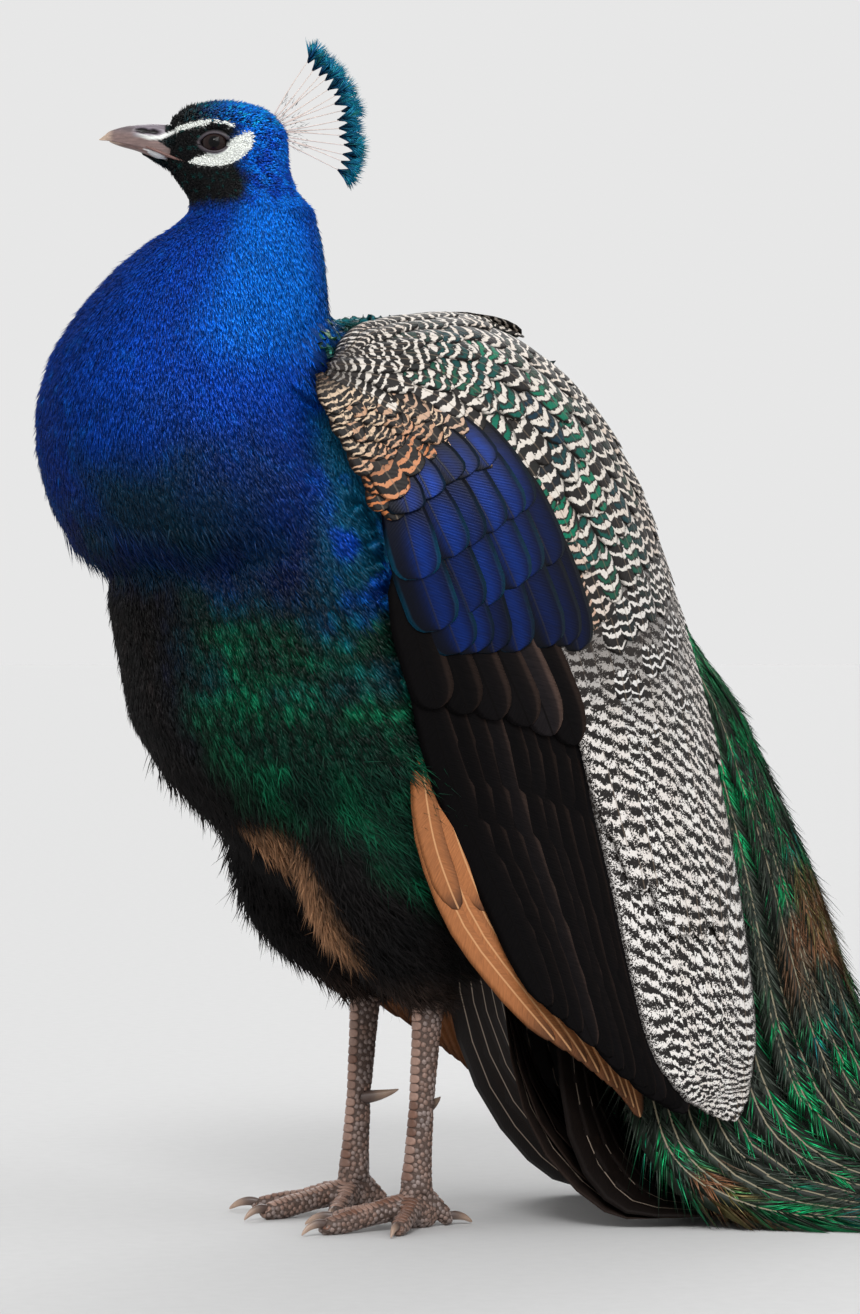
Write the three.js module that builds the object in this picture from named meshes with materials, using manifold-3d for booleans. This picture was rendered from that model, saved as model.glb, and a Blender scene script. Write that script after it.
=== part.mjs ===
import * as THREE from "three";
import { mergeVertices } from "three/addons/utils/BufferGeometryUtils.js";
import Module from "manifold-3d";

// A life-size male Indian peafowl standing on z = 0. Lengths are millimetres.
// It faces -X with its left side towards -Y; its head is turned to its right. The sizes
// below are measured from the point on the ground midway between its hips.

const wasm = await Module();
wasm.setup();

// Driving dimensions
const clearance = 0.35; // air between neighbouring parts
const slack = 0.16; // how far merging small facets may move a surface
const sharpest = 0.35; // cosine beyond which a corner is grown no further
const neckAxisX = -114; // the neck's axis under the skull
const headTurn = 25; // degrees the head is turned to the bird's right
const vaneSides = 4; // and round a feather tip
const bodySides = 18; // facets round the body and the neck
const eyeRadius = 8; // the eyeball
const eyeForward = 23.2; // the eyeball's centre ahead of the neck's axis
const eyeLateral = 14.2; // and out from the head's middle plane
const eyeHeight = 637.9;
const crestShafts = 15; // wired feathers in the crest
const crestLength = 41; // bare length of each shaft
const crestTip = { length: 15, width: 8.6, thick: 1.6 };
const crestHigh = 58; // degrees of the top shaft over level
const crestLow = -27; // and of the lowest
const hipSpread = 45; // each foot's distance from the middle plane
const ankleZ = 147;
const footZ = 21;
const footX = -30;
const trainEnd = 1330; // how far back the longest train feathers reach
const tailSwing = 17; // degrees the tail and train trail to the bird's left
const swingFrom = 350; // the height where that swing begins
const swingOver = 300; // and the drop over which it grows
const swingX = 70; // the upright line it turns about
const trainCuts = [330, 800]; // where the train is parted into lengths

// Horizontal slices of head and neck, top to bottom:
// height, reach ahead of the axis, reach behind it, half width, head turn, front taper.
const headNeckSlices = [
  [663.4, 27, 12, 3.5, 1, 0.1],
  [660.9, 39, 0, 11.5, 1, 0.15],
  [657.8, 45.4, -7.7, 15.2, 1, 0.2],
  [654.2, 50.7, -13, 17.4, 1, 0.25],
  [650.7, 54.3, -16.5, 18.6, 1, 0.28],
  [643.6, 57.8, -19.5, 19.6, 1, 0.3],
  [636.5, 57.8, -19.5, 20.4, 1, 0.3],
  [629.4, 55.5, -19.5, 21.2, 1, 0.28],
  [622.3, 51.3, -20, 22, 1, 0.25],
  [615.3, 46, -22.4, 23.5, 1, 0.2],
  [608.2, 40, -27.1, 26, 1, 0.12],
  [601.1, 38.5, -35.4, 29.5, 0.9, 0.06],
  [594, 46, -39, 34, 0.7, 0],
  [587, 56.6, -41.5, 39, 0.5, 0],
  [579.5, 68, -42.5, 45, 0.35, 0],
  [563, 88, -44.5, 53, 0.15, 0],
  [545.5, 105, -45, 61, 0, 0],
  [516.5, 125, -41, 74, 0, 0],
  [486.5, 134, -37, 85, 0, 0],
  [457.5, 134, -45, 92, 0, 0],
  [428.5, 126, -55, 96, 0, 0],
  [416, 120, -58, 94, 0, 0],
  [404.5, 112, -60, 90, 0, 0],
  [394, 102, -58, 80, 0, 0],
  [386, 88, -50, 62, 0, 0],
];

// Horizontal slices of the trunk: height, front x, rear x, half width.
const trunkSlices = [
  [541, -50, -12, 18],
  [536.5, -66, 8, 36],
  [525.5, -96, 36, 56],
  [507.5, -124, 66, 74],
  [477.5, -155, 90, 92],
  [441.5, -178, 110, 100],
  [405.5, -198, 121, 104],
  [370.5, -206, 124, 106],
  [298.5, -191, 108, 105],
  [268.5, -172, 97, 101],
  [238.5, -139, 85, 94],
  [208.5, -106, 72, 80],
  [178.5, -62, 58, 60],
  [150.5, -10, 42, 34],
  [143, 6, 32, 14],
];

// The left wing from shoulder to tip: front edge, rear edge, outward bulge, thickness.
const wingSections = [
  [[-108, -80, 500], [-90, -62, 514], 3, 5],
  [[-99, -96, 469], [-47, -28, 537], 16, 9],
  [[-82, -106, 432], [28, -14, 540], 34, 11],
  [[-71, -112, 386], [90, -14, 505], 44, 12],
  [[-56, -113, 334], [132, -16, 446], 47, 12],
  [[-39, -110, 288], [155, -22, 378], 45, 12],
  [[-17, -105, 241], [166, -42, 310], 36, 11],
  [[8, -110, 188], [168, -68, 237], 25, 10],
  [[30, -118, 135], [166, -90, 165], 15, 8],
  [[55, -122, 88], [163, -104, 108], 9, 6],
  [[78, -121, 66], [162, -107, 80], 6, 5],
];

// The left wing's primaries under it: front edge, rear edge, outward bulge, thickness.
const primarySections = [
  [[-45, -96, 322], [-20, -94, 330], 1, 3],
  [[-54, -96, 285], [-5, -94, 292], 2, 4],
  [[-55, -96, 250], [10, -92, 255], 2, 4.5],
  [[-50, -97, 216], [28, -94, 222], 2, 4.5],
  [[-33, -99, 177], [48, -96, 184], 2, 4.5],
  [[-3, -103, 141], [66, -99, 146], 2, 4],
  [[27, -107, 109], [80, -103, 112], 1.5, 3.5],
  [[48, -108, 84], [86, -104, 86], 1, 3],
];

// Feather tips: base point, tip point and half width, on the left side.
const tertialTips = [
  [[82, -119, 84], [92, -117, 50], 11],
  [[100, -118, 84], [112, -116, 42], 11],
  [[118, -116, 88], [129, -114, 41], 11],
  [[135, -113, 90], [145, -111, 46], 11],
  [[151, -108, 96], [159, -106, 55], 10],
];
const primaryTips = [
  [[51, -107, 96], [57, -106, 60], 8],
  [[63, -105.5, 96], [71, -104.5, 48], 8],
  [[75, -104, 98], [83, -103, 45], 8],
];

// The tail's quills and vanes: middle x, middle z, half width, how far the edges
// hang ahead, how far they hang below, thickness.
const tailSections = [
  [66, 300, 34, 4, 4, 20],
  [76, 255, 54, 14, 6, 30],
  [86, 205, 68, 26, 8, 42],
  [95, 155, 78, 36, 10, 50],
  [104, 105, 85, 40, 12, 46],
  [117, 60, 88, 42, 12, 36],
  [138, 28, 90, 46, 8, 24],
  [166, 12, 93, 50, 3, 14],
  [228, 8, 100, 48, 0, 9],
  [310, 7, 100, 30, 0, 8],
  [365, 6, 72, -6, 0, 6],
];

// The train: underside x and z, top x and z, half width, how far the edges hang ahead.
const trainSections = [
  [64, 428, 106, 468, 36, 0],
  [80, 382, 140, 404, 60, 6],
  [88, 328, 172, 350, 72, 14],
  [94, 282, 202, 310, 76, 22],
  [100, 228, 226, 258, 80, 30],
  [106, 172, 246, 210, 80, 36],
  [114, 118, 262, 162, 82, 42],
  [126, 64, 280, 112, 88, 46],
  [146, 22, 304, 72, 104, 44],
  [190, 0, 350, 46, 122, 30],
  [300, 0, 420, 36, 140, 12],
  [480, 0, 510, 31, 166, 0],
  [650, 0, 660, 29, 192, 0],
  [840, 0, 840, 26, 218, 0],
  [1010, 0, 1010, 24, 236, 0],
  [1130, 0, 1130, 20, 232, 0],
  [1220, 0, 1220, 15, 200, 0],
  [1275, 0, 1275, 10, 140, 0],
];

// The feathered thigh: height, front x, rear x, half width, distance off the middle plane.
const thighSlices = [
  [275, -120, 14, 30, 46],
  [255, -118, 6, 38, 50],
  [230, -114, 0, 40, 52],
  [200, -108, -2, 36, 51],
  [178, -98, -4, 31, 49],
  [160, -82, -6, 25, 47],
  [146, -62, -7, 19, 46],
  [134, -44, -8, 14, 45],
  [126, -36, -10, 11, 45],
];

// The bare shank: share of the way from ankle to foot, fore-and-aft radius, side radius.
const shankStations = [
  [-0.1, 7.5, 6.5],
  [0, 10, 7.8],
  [0.1, 10, 7.6],
  [0.3, 8.8, 6.6],
  [0.6, 7.6, 6.2],
  [0.85, 8.4, 7.2],
  [1, 10, 9],
];

// Each toe: name, heading in degrees outwards from straight ahead, length, base radius.
const leftToes = [
  ["inner", -30, 52, 6.2],
  ["middle", 13, 70, 7],
  ["outer", 52, 50, 6],
  ["hind", 184, 24, 5.6],
];
const rightToes = [
  ["inner", -52, 50, 6.2],
  ["middle", -15, 70, 7],
  ["outer", 30, 62, 6],
  ["hind", 176, 24, 5.6],
];

// The upper bill: distance ahead of the axis, top, bottom, half width.
const upperBillStations = [
  [91.6, 643.2, 641, 0.9],
  [88, 646.2, 640.6, 2.2],
  [83.8, 648.1, 640, 3.4],
  [76.7, 649.3, 638.6, 4.9],
  [69.6, 650, 636.8, 6.2],
  [62, 650.6, 634.4, 7.4],
  [53.1, 651, 631, 8.4],
  [40, 649, 629.5, 8],
];
const lowerBillStations = [
  [86.7, 641.5, 639.6, 1.6],
  [79.6, 641.5, 637.6, 3.2],
  [69.6, 640, 634.8, 5],
  [62, 638, 631.6, 6.3],
  [54.3, 636, 628.8, 7.3],
  [40, 632, 626, 7.2],
];

const radians = THREE.MathUtils.degToRad;
const vector = (x, y, z) => new THREE.Vector3(x, y, z);
const headForward = vector(-Math.cos(radians(headTurn)), Math.sin(radians(headTurn)), 0);
const headLeft = vector(-Math.sin(radians(headTurn)), -Math.cos(radians(headTurn)), 0);

// A point of the head: ahead of the neck's axis, to the bird's left, at a height.
function headPoint(ahead, left, height) {
  return vector(neckAxisX, 0, height)
    .addScaledVector(headForward, ahead)
    .addScaledVector(headLeft, left);
}

function solidFromArrays(positions, triangles) {
  return new wasm.Manifold(
    new wasm.Mesh({
      numProp: 3,
      vertProperties: positions,
      triVerts: triangles,
    }),
  );
}

function solidOf(geometry) {
  geometry.deleteAttribute("normal");
  geometry.deleteAttribute("uv");
  const merged = mergeVertices(geometry, 1e-4);
  return solidFromArrays(merged.attributes.position.array, new Uint32Array(merged.index.array));
}

function geometryOf(solid) {
  const mesh = solid.getMesh();
  const positions = new Float32Array((mesh.vertProperties.length / mesh.numProp) * 3);
  for (let i = 0; i < positions.length / 3; i++) {
    for (let k = 0; k < 3; k++) {
      positions[3 * i + k] = mesh.vertProperties[i * mesh.numProp + k];
    }
  }
  return new THREE.BufferGeometry()
    .setAttribute("position", new THREE.BufferAttribute(positions, 3))
    .setIndex(new THREE.BufferAttribute(new Uint32Array(mesh.triVerts), 1));
}

// A closed body through rings of equal count. Each ring is a loop whose first half
// faces its second half, so its end is closed by a strip from one half to the other.
function loft(rings) {
  const count = rings[0].length;
  const positions = new Float32Array(rings.flat().flatMap((p) => [p.x, p.y, p.z]));
  const triangles = [];
  for (let r = 0; r + 1 < rings.length; r++) {
    for (let i = 0; i < count; i++) {
      const a = r * count + i;
      const b = r * count + ((i + 1) % count);
      triangles.push([a, b, b + count], [a, b + count, a + count]);
    }
  }
  const last = (rings.length - 1) * count;
  for (let i = 0; i < count / 2 - 1; i++) {
    const far = count - 1 - i;
    triangles.push([i, far, i + 1], [i + 1, far, far - 1]);
    triangles.push([last + i, last + i + 1, last + far], [last + i + 1, last + far - 1, last + far]);
  }
  const corner = (k) => vector().fromArray(positions, 3 * k);
  const volume = triangles.reduce(
    (sum, [a, b, c]) => sum + corner(a).dot(corner(b).cross(corner(c))),
    0,
  );
  const facing = volume > 0 ? triangles : triangles.map(([a, b, c]) => [a, c, b]);
  return solidFromArrays(positions, new Uint32Array(facing.flat()));
}

// An oval ring round a centre, narrower on the side of the first axis when tapered.
function oval(centre, first, second, sides, taper = 0) {
  return Array.from({ length: sides }, (_, i) => {
    const angle = (2 * Math.PI * (i + 0.5)) / sides;
    return centre
      .clone()
      .addScaledVector(first, Math.cos(angle))
      .addScaledVector(second, Math.sin(angle) * (1 - taper * Math.cos(angle)));
  });
}

// A sheet's section from one edge to the other, bulging along a direction.
function sheetRing(from, to, out, bulge, thick, steps) {
  const outer = [];
  const inner = [];
  for (let i = 0; i <= steps; i++) {
    const share = i / steps;
    const point = from.clone().lerp(to, share);
    point.addScaledVector(out, bulge * 4 * share * (1 - share));
    outer.push(point);
    const depth = thick * (0.35 + 0.65 * Math.sqrt(Math.sin(Math.PI * share)));
    inner.push(point.clone().addScaledVector(out, -depth));
  }
  return outer.concat(inner.reverse());
}

// A sheet through sections of front edge, rear edge, bulge and thickness.
function sheet(sections, steps) {
  const middles = sections.map(([a, b]) => vector(...a).lerp(vector(...b), 0.5));
  return loft(
    sections.map(([a, b, bulge, thick], i) => {
      const before = middles[Math.max(i - 1, 0)];
      const after = middles[Math.min(i + 1, middles.length - 1)];
      const along = after.clone().sub(before);
      const across = vector(...b).sub(vector(...a));
      const out = across.cross(along).normalize();
      out.multiplyScalar(out.y > 0 ? -1 : 1);
      return sheetRing(vector(...a), vector(...b), out, bulge, thick, steps);
    }),
  );
}

// A round body along points with a radius at each.
function limb(stations, sides) {
  const points = stations.map((s) => s[0]);
  return loft(
    stations.map(([point, radius, flat = radius], i) => {
      const before = points[Math.max(i - 1, 0)];
      const after = points[Math.min(i + 1, points.length - 1)];
      const along = after.clone().sub(before).normalize();
      const side = along.clone().cross(vector(0, 0, 1)).normalize();
      const up = side.clone().cross(along).normalize();
      return oval(point, side.multiplyScalar(radius), up.multiplyScalar(flat), sides);
    }),
  );
}

// A flat feather tip with a rounded end.
function vane(base, tip, half, thick, out) {
  const along = tip.clone().sub(base);
  const side = along.clone().cross(out).normalize();
  const shares = [0, 0.7, 1];
  const widths = [0.9, 1, 0.2];
  return loft(
    shares.map((share, i) =>
      oval(
        base.clone().addScaledVector(along, share),
        side.clone().multiplyScalar(half * widths[i]),
        out.clone().multiplyScalar(thick / 2),
        vaneSides,
      ),
    ),
  );
}

// The same body with its surface moved out by the clearance. Each corner moves along the
// mean of its faces, weighted by angle, and far enough to clear the steepest of them.
function inflated(solid, amount = clearance) {
  const geometry = mergeVertices(geometryOf(solid), 1e-4);
  const position = geometry.attributes.position;
  const corners = Array.from({ length: position.count }, (_, i) =>
    vector().fromBufferAttribute(position, i),
  );
  const faces = corners.map(() => []);
  const means = corners.map(() => vector());
  const index = geometry.index.array;
  for (let t = 0; t < index.length; t += 3) {
    for (let k = 0; k < 3; k++) {
      const [here, next, last] = [0, 1, 2].map((step) => index[t + ((k + step) % 3)]);
      const toNext = corners[next].clone().sub(corners[here]);
      const toLast = corners[last].clone().sub(corners[here]);
      const normal = toNext.clone().cross(toLast).normalize();
      means[here].addScaledVector(normal, toNext.angleTo(toLast));
      faces[here].push(normal);
    }
  }
  corners.forEach((corner, i) => {
    const mean = means[i].normalize();
    const steepest = Math.min(...faces[i].map((normal) => normal.dot(mean)));
    corner.addScaledVector(mean, amount / Math.max(steepest, sharpest));
    position.setXYZ(i, corner.x, corner.y, corner.z);
  });
  return solidOf(geometry);
}

const largest = (solid) =>
  solid
    .simplify(slack)
    .decompose()
    .reduce((a, b) => (a.volume() > b.volume() ? a : b));
const without = (solid, ...grown) => grown.reduce((left, other) => left.subtract(other), solid);
const joined = (solids) => solids.reduce((a, b) => a.add(b));
const mirrored = (solid) => solid.mirror([0, 1, 0]);

function slab(width, depth, height, x, y, z, tilt = 0) {
  const geometry = new THREE.BoxGeometry(width, depth, height);
  geometry.rotateY(tilt);
  geometry.translate(x, y, z);
  return solidOf(geometry);
}

// Parts a solid at a thin slab into the pieces on either side of it.
function parted(solid, cut) {
  return solid
    .subtract(cut)
    .decompose()
    .sort((a, b) => b.volume() - a.volume())
    .slice(0, 2);
}

const ground = slab(4000, 2000, 200, 500, 0, -100);

// Head and neck in one, then parted under the cheeks and at the base of the neck.
const headNeck = loft(
  headNeckSlices.map(([z, ahead, behind, half, turn, taper]) => {
    const yaw = radians(headTurn * turn);
    const forward = vector(-Math.cos(yaw), Math.sin(yaw), 0);
    const left = vector(-Math.sin(yaw), -Math.cos(yaw), 0);
    const centre = vector(neckAxisX, 0, z).addScaledVector(forward, (ahead + behind) / 2);
    return oval(
      centre,
      forward.multiplyScalar((ahead - behind) / 2),
      left.multiplyScalar(half),
      bodySides,
      taper,
    );
  }),
);
const [neckWhole, headWhole] = parted(
  headNeck,
  slab(400, 400, clearance, neckAxisX, 0, 606, 0.12),
);
const [neckLower, neckUpper] = parted(
  neckWhole,
  slab(500, 400, clearance, neckAxisX, 0, 530),
);

const eyeAt = (side) =>
  solidOf(
    new THREE.SphereGeometry(eyeRadius, 10, 7).translate(
      ...headPoint(eyeForward, side * eyeLateral, eyeHeight).toArray(),
    ),
  );
const eyeLeft = eyeAt(1);
const eyeRight = eyeAt(-1);

const billSection = ([ahead, top, bottom, half]) =>
  oval(
    headPoint(ahead, 0, (top + bottom) / 2),
    headLeft.clone().multiplyScalar(half),
    vector(0, 0, (top - bottom) / 2),
    8,
  );
const billUpper = loft(upperBillStations.map(billSection));
const billLowerWhole = loft(lowerBillStations.map(billSection));
const billLower = without(billLowerWhole, inflated(billUpper));

// The crest: bare shafts fanned back from the crown, each with a small vane.
function crestShaft(i) {
  const share = i / (crestShafts - 1);
  const rise = radians(crestLow + (crestHigh - crestLow) * share);
  const lean = radians(3.5 * Math.sin(2.4 * i));
  const along = headForward
    .clone()
    .multiplyScalar(-Math.cos(rise) * Math.cos(lean))
    .add(vector(0, 0, Math.sin(rise)))
    .addScaledVector(headLeft, Math.sin(lean));
  const root = headPoint(-14 + 4 * share, 0, 644 + 9 * share);
  const neck = root.clone().addScaledVector(along, crestLength);
  const shaft = limb(
    [
      [root, 0.9],
      [neck.clone().addScaledVector(along, 6), 0.6],
    ],
    4,
  );
  const out = along.clone().cross(vector(0, 0, 1)).normalize();
  const tip = neck.clone().addScaledVector(along, crestTip.length);
  return shaft.add(vane(neck, tip, crestTip.width / 2, crestTip.thick, out));
}
const crestRoot = limb(
  [
    [headPoint(-13.5, 0, 643), 2.4],
    [headPoint(-10, 0, 653.5), 2.4],
  ],
  6,
);
const crestSocket = loft(
  [
    [-7, 648, 10],
    [-34, 655, 36],
  ].map(([ahead, height, half]) =>
    oval(
      headPoint(ahead, 0, height),
      vector(0, 0, half),
      headLeft.clone().multiplyScalar(3.2),
      12,
    ),
  ),
);
const crest = joined([
  crestRoot,
  ...Array.from({ length: crestShafts }, (_, i) => crestShaft(i)),
]);
const headFittings = [billUpper, billLowerWhole, eyeLeft, eyeRight].map((s) => inflated(s));
const head = largest(without(headWhole, ...headFittings, crestSocket));

// Wings: the covering sheet with its scapulars, secondaries and tertials, and the primaries.
const sideways = vector(-0.1, -1, 0.05).normalize();
const tipVanes = (tips, thick) =>
  tips.map(([base, tip, half]) => vane(vector(...base), vector(...tip), half, thick, sideways));
const wingPieces = [sheet(wingSections, 5), ...tipVanes(tertialTips, 3.2)];
const primaryPieces = [sheet(primarySections, 4), ...tipVanes(primaryTips, 2.4)];
const grown = (pieces) => joined(pieces.map((piece) => inflated(piece)));
const neckGrown = inflated(headNeck);
const wingGrown = grown(wingPieces);
const primaryGrown = grown(primaryPieces);
const wingsGrown = [wingGrown, primaryGrown, mirrored(wingGrown), mirrored(primaryGrown)];
const wingLeft = largest(without(joined(wingPieces), neckGrown));
const wingRight = mirrored(wingLeft);
const primariesLeft = largest(without(joined(primaryPieces), wingGrown));
const primariesRight = mirrored(primariesLeft);

const trunkWhole = loft(
  trunkSlices.map(([z, front, rear, half]) =>
    oval(
      vector((front + rear) / 2, 0, z),
      vector((front - rear) / 2, 0, 0),
      vector(0, half, 0),
      bodySides,
      0.06,
    ),
  ),
);

// Legs
function legParts(side, toes) {
  const ankle = vector(-21, side * hipSpread, ankleZ);
  const foot = vector(footX, side * hipSpread, footZ);
  const shankWhole = limb(
    shankStations.map(([share, fore, flat]) => [ankle.clone().lerp(foot, share), flat, fore]),
    8,
  );
  const spurRoot = ankle.clone().lerp(foot, 0.62);
  const spurTip = spurRoot.clone().add(vector(19, -side * 15, 4));
  const spur = limb(
    [
      [spurRoot, 4.4],
      [spurRoot.clone().lerp(spurTip, 0.45), 3.6],
      [spurRoot.clone().lerp(spurTip, 0.8), 1.8],
      [spurTip, 0.5],
    ],
    6,
  );
  const shank = largest(without(shankWhole, inflated(spur)));
  const shankGrown = inflated(shankWhole);
  const pad = limb(
    [
      [foot.clone().add(vector(12, 0, -14)), 5, 6],
      [foot.clone().add(vector(4, 0, -13)), 10, 10],
      [foot.clone().add(vector(-7, 0, -12.5)), 11, 10],
      [foot.clone().add(vector(-15, 0, -14)), 7, 8],
    ],
    8,
  );
  const claws = {};
  const toeSolids = toes.map(([name, heading, length, radius]) => {
    const angle = radians(heading);
    const along = vector(-Math.cos(angle), side * Math.sin(angle), 0);
    const at = (distance, height) =>
      vector(foot.x, foot.y, height).addScaledVector(along, distance);
    const lift = name === "hind" ? 7 : 0;
    const toe = limb(
      [
        [at(0, 14 + lift / 2), radius + 1],
        [at(length * 0.25, 12 + lift), radius + 0.6],
        [at(length * 0.5, radius + 2.2 + lift * 0.8), radius * 0.94],
        [at(length * 0.72, radius - 0.2 + lift * 0.3), radius * 0.98],
        [at(length * 0.9, radius * 0.84 - 0.9), radius * 0.84],
        [at(length, radius * 0.7 - 0.6), radius * 0.6],
      ],
      6,
    );
    const claw = limb(
      [
        [at(length - 3, radius * 0.9), 2.6],
        [at(length + 3, radius * 0.98), 2.5],
        [at(length + 8, radius * 0.8), 1.9],
        [at(length + 12, radius * 0.42), 1.1],
        [at(length + 13.6, 1.1), 0.4],
      ],
      6,
    );
    claws[name] = claw;
    return toe;
  });
  const clawsGrown = Object.values(claws).map((claw) => inflated(claw));
  const footSolid = largest(
    without(joined([pad, ...toeSolids]), shankGrown, ...clawsGrown, ground),
  );
  for (const name of Object.keys(claws)) claws[name] = largest(claws[name].subtract(ground));
  const thighWhole = loft(
    thighSlices.map(([z, front, rear, half, off]) =>
      oval(
        vector((front + rear) / 2, side * off, z),
        vector((front - rear) / 2, 0, 0),
        vector(0, half, 0),
        12,
      ),
    ),
  );
  return { shank, shankGrown, spur, foot: footSolid, claws, thighWhole };
}
const legLeft = legParts(-1, leftToes);
const legRight = legParts(1, rightToes);

const trunk = largest(without(trunkWhole, neckGrown, ...wingsGrown));
const trunkGrown = inflated(trunkWhole);
const thighOf = (leg) =>
  largest(without(leg.thighWhole, trunkGrown, ...wingsGrown, leg.shankGrown));
const thighLeft = thighOf(legLeft);
const thighRight = thighOf(legRight);
const thighsGrown = [legLeft, legRight].map((leg) => inflated(leg.thighWhole));

// Turns what hangs below the rump towards the bird's left, more the lower it is.
function swung(solid) {
  return solid.warp((point) => {
    const share = Math.min(Math.max((swingFrom - point[2]) / swingOver, 0), 1);
    const turn = radians(tailSwing * share);
    const back = point[0] - swingX;
    const side = point[1];
    point[0] = swingX + back * Math.cos(turn) + side * Math.sin(turn);
    point[1] = side * Math.cos(turn) - back * Math.sin(turn);
  });
}

// The tail under the train.
const tailRing = ([x, z, half, ahead, below, thick], i) => {
  const next = tailSections[Math.min(i + 1, tailSections.length - 1)];
  const last = tailSections[Math.max(i - 1, 0)];
  const normal = vector(next[1] - last[1], 0, -(next[0] - last[0])).normalize();
  normal.multiplyScalar(normal.z > 0 ? 1 : -1);
  const steps = 8;
  const outer = [];
  const inner = [];
  for (let k = 0; k <= steps; k++) {
    const y = (2 * k) / steps - 1;
    const point = vector(x - ahead * y * y, half * y, z - below * y * y);
    const depth = thick * (0.45 + 0.55 * Math.sqrt(1 - y * y));
    outer.push(point.clone().addScaledVector(normal, 3));
    inner.push(point.clone().addScaledVector(normal, 3 - depth));
  }
  return outer.concat(inner.reverse());
};
const tailBody = swung(loft(tailSections.map(tailRing)));
const tailWhole = tailBody.subtract(ground);
const tail = largest(without(tailWhole, trunkGrown, ...wingsGrown, ...thighsGrown));

// The train: a domed sheet over the rump that comes down to lie along the ground,
// ending in a fan of long feathers.
const trainRing = ([bottomX, bottomZ, topX, topZ, half, ahead]) => {
  const steps = 8;
  const top = [];
  const bottom = [];
  for (let k = 0; k <= steps; k++) {
    const y = (2 * k) / steps - 1;
    const dome = 0.12 + 0.88 * (1 - Math.abs(y) ** 2.2);
    const low = vector(bottomX - ahead * y * y, half * y, bottomZ);
    const high = vector(topX - ahead * y * y, half * y, topZ);
    top.push(low.clone().lerp(high, dome));
    bottom.push(low);
  }
  return top.concat(bottom.reverse());
};
const fanTips = Array.from({ length: 15 }, (_, i) => {
  const share = i / 7 - 1;
  const reach = trainEnd - 210 * share * share;
  const tip = vector(reach, 205 * share, 3.4);
  const base = vector(reach - 190, 150 * share, 3.4);
  return vane(base, tip, 24, 5, vector(0, 0, 1));
});
const trainPieces = [loft(trainSections.map(trainRing)), ...fanTips];
const trainWhole = joined(trainPieces.map(swung)).subtract(ground);
const trainCut = largest(without(trainWhole, trunkGrown, ...wingsGrown, inflated(tailBody)));
const [trainRear, trainFore] = parted(
  trainCut,
  slab(clearance, 1000, 400, trainCuts[1], 0, 100),
).sort((a, b) => b.boundingBox().max[0] - a.boundingBox().max[0]);
const [trainMiddle, trainUpper] = parted(
  trainFore,
  slab(clearance, 1000, 400, trainCuts[0], 0, 100),
).sort((a, b) => b.boundingBox().max[0] - a.boundingBox().max[0]);

const finish = (color, roughness, metalness = 0) =>
  new THREE.MeshStandardMaterial({ color, roughness, metalness });
const finishes = {
  blue: finish(0x0f3fb5, 0.45),
  black: finish(0x15181c, 0.6),
  green: finish(0x0f5f45, 0.5),
  barred: finish(0xb9ad98, 0.7),
  rust: finish(0xa8683a, 0.7),
  brown: finish(0x2b211b, 0.7),
  train: finish(0x3f6b3c, 0.55),
  horn: finish(0x8d7d76, 0.45),
  eye: finish(0x1c0f0a, 0.1),
  scale: finish(0x7d6459, 0.6),
};

const peacock = new THREE.Group();
function addPart(name, solid, material) {
  const mesh = new THREE.Mesh(geometryOf(solid), material);
  mesh.name = name;
  peacock.add(mesh);
}

addPart("head", head, finishes.blue);
addPart("bill_upper", billUpper, finishes.horn);
addPart("bill_lower", largest(billLower), finishes.horn);
addPart("eye_left", eyeLeft, finishes.eye);
addPart("eye_right", eyeRight, finishes.eye);
addPart("crest", crest, finishes.blue);
addPart("neck_upper", neckUpper, finishes.blue);
addPart("neck_lower", neckLower, finishes.blue);
addPart("trunk", trunk, finishes.green);
addPart("wing_left", wingLeft, finishes.barred);
addPart("wing_right", wingRight, finishes.barred);
addPart("primaries_left", primariesLeft, finishes.rust);
addPart("primaries_right", primariesRight, finishes.rust);
addPart("tail", tail, finishes.brown);
addPart("train_upper", trainUpper, finishes.train);
addPart("train_middle", trainMiddle, finishes.train);
addPart("train_end", trainRear, finishes.train);
for (const [side, leg, thigh] of [
  ["left", legLeft, thighLeft],
  ["right", legRight, thighRight],
]) {
  addPart("thigh_" + side, thigh, finishes.black);
  addPart("shank_" + side, leg.shank, finishes.scale);
  addPart("spur_" + side, leg.spur, finishes.horn);
  addPart("foot_" + side, leg.foot, finishes.scale);
  for (const [name, claw] of Object.entries(leg.claws)) {
    addPart("claw_" + side + "_" + name, claw, finishes.horn);
  }
}

// The row's frame has its origin on the ground, under the middle of the whole bird.
const bounds = new THREE.Box3().setFromObject(peacock);
const middle = bounds.getCenter(vector());
for (const mesh of peacock.children) mesh.position.set(-middle.x, -middle.y, 0);

export default peacock;
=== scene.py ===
import math
import bmesh
import bpy
import numpy as np
from mathutils import Matrix, Vector
from mathutils.bvhtree import BVHTree


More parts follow.
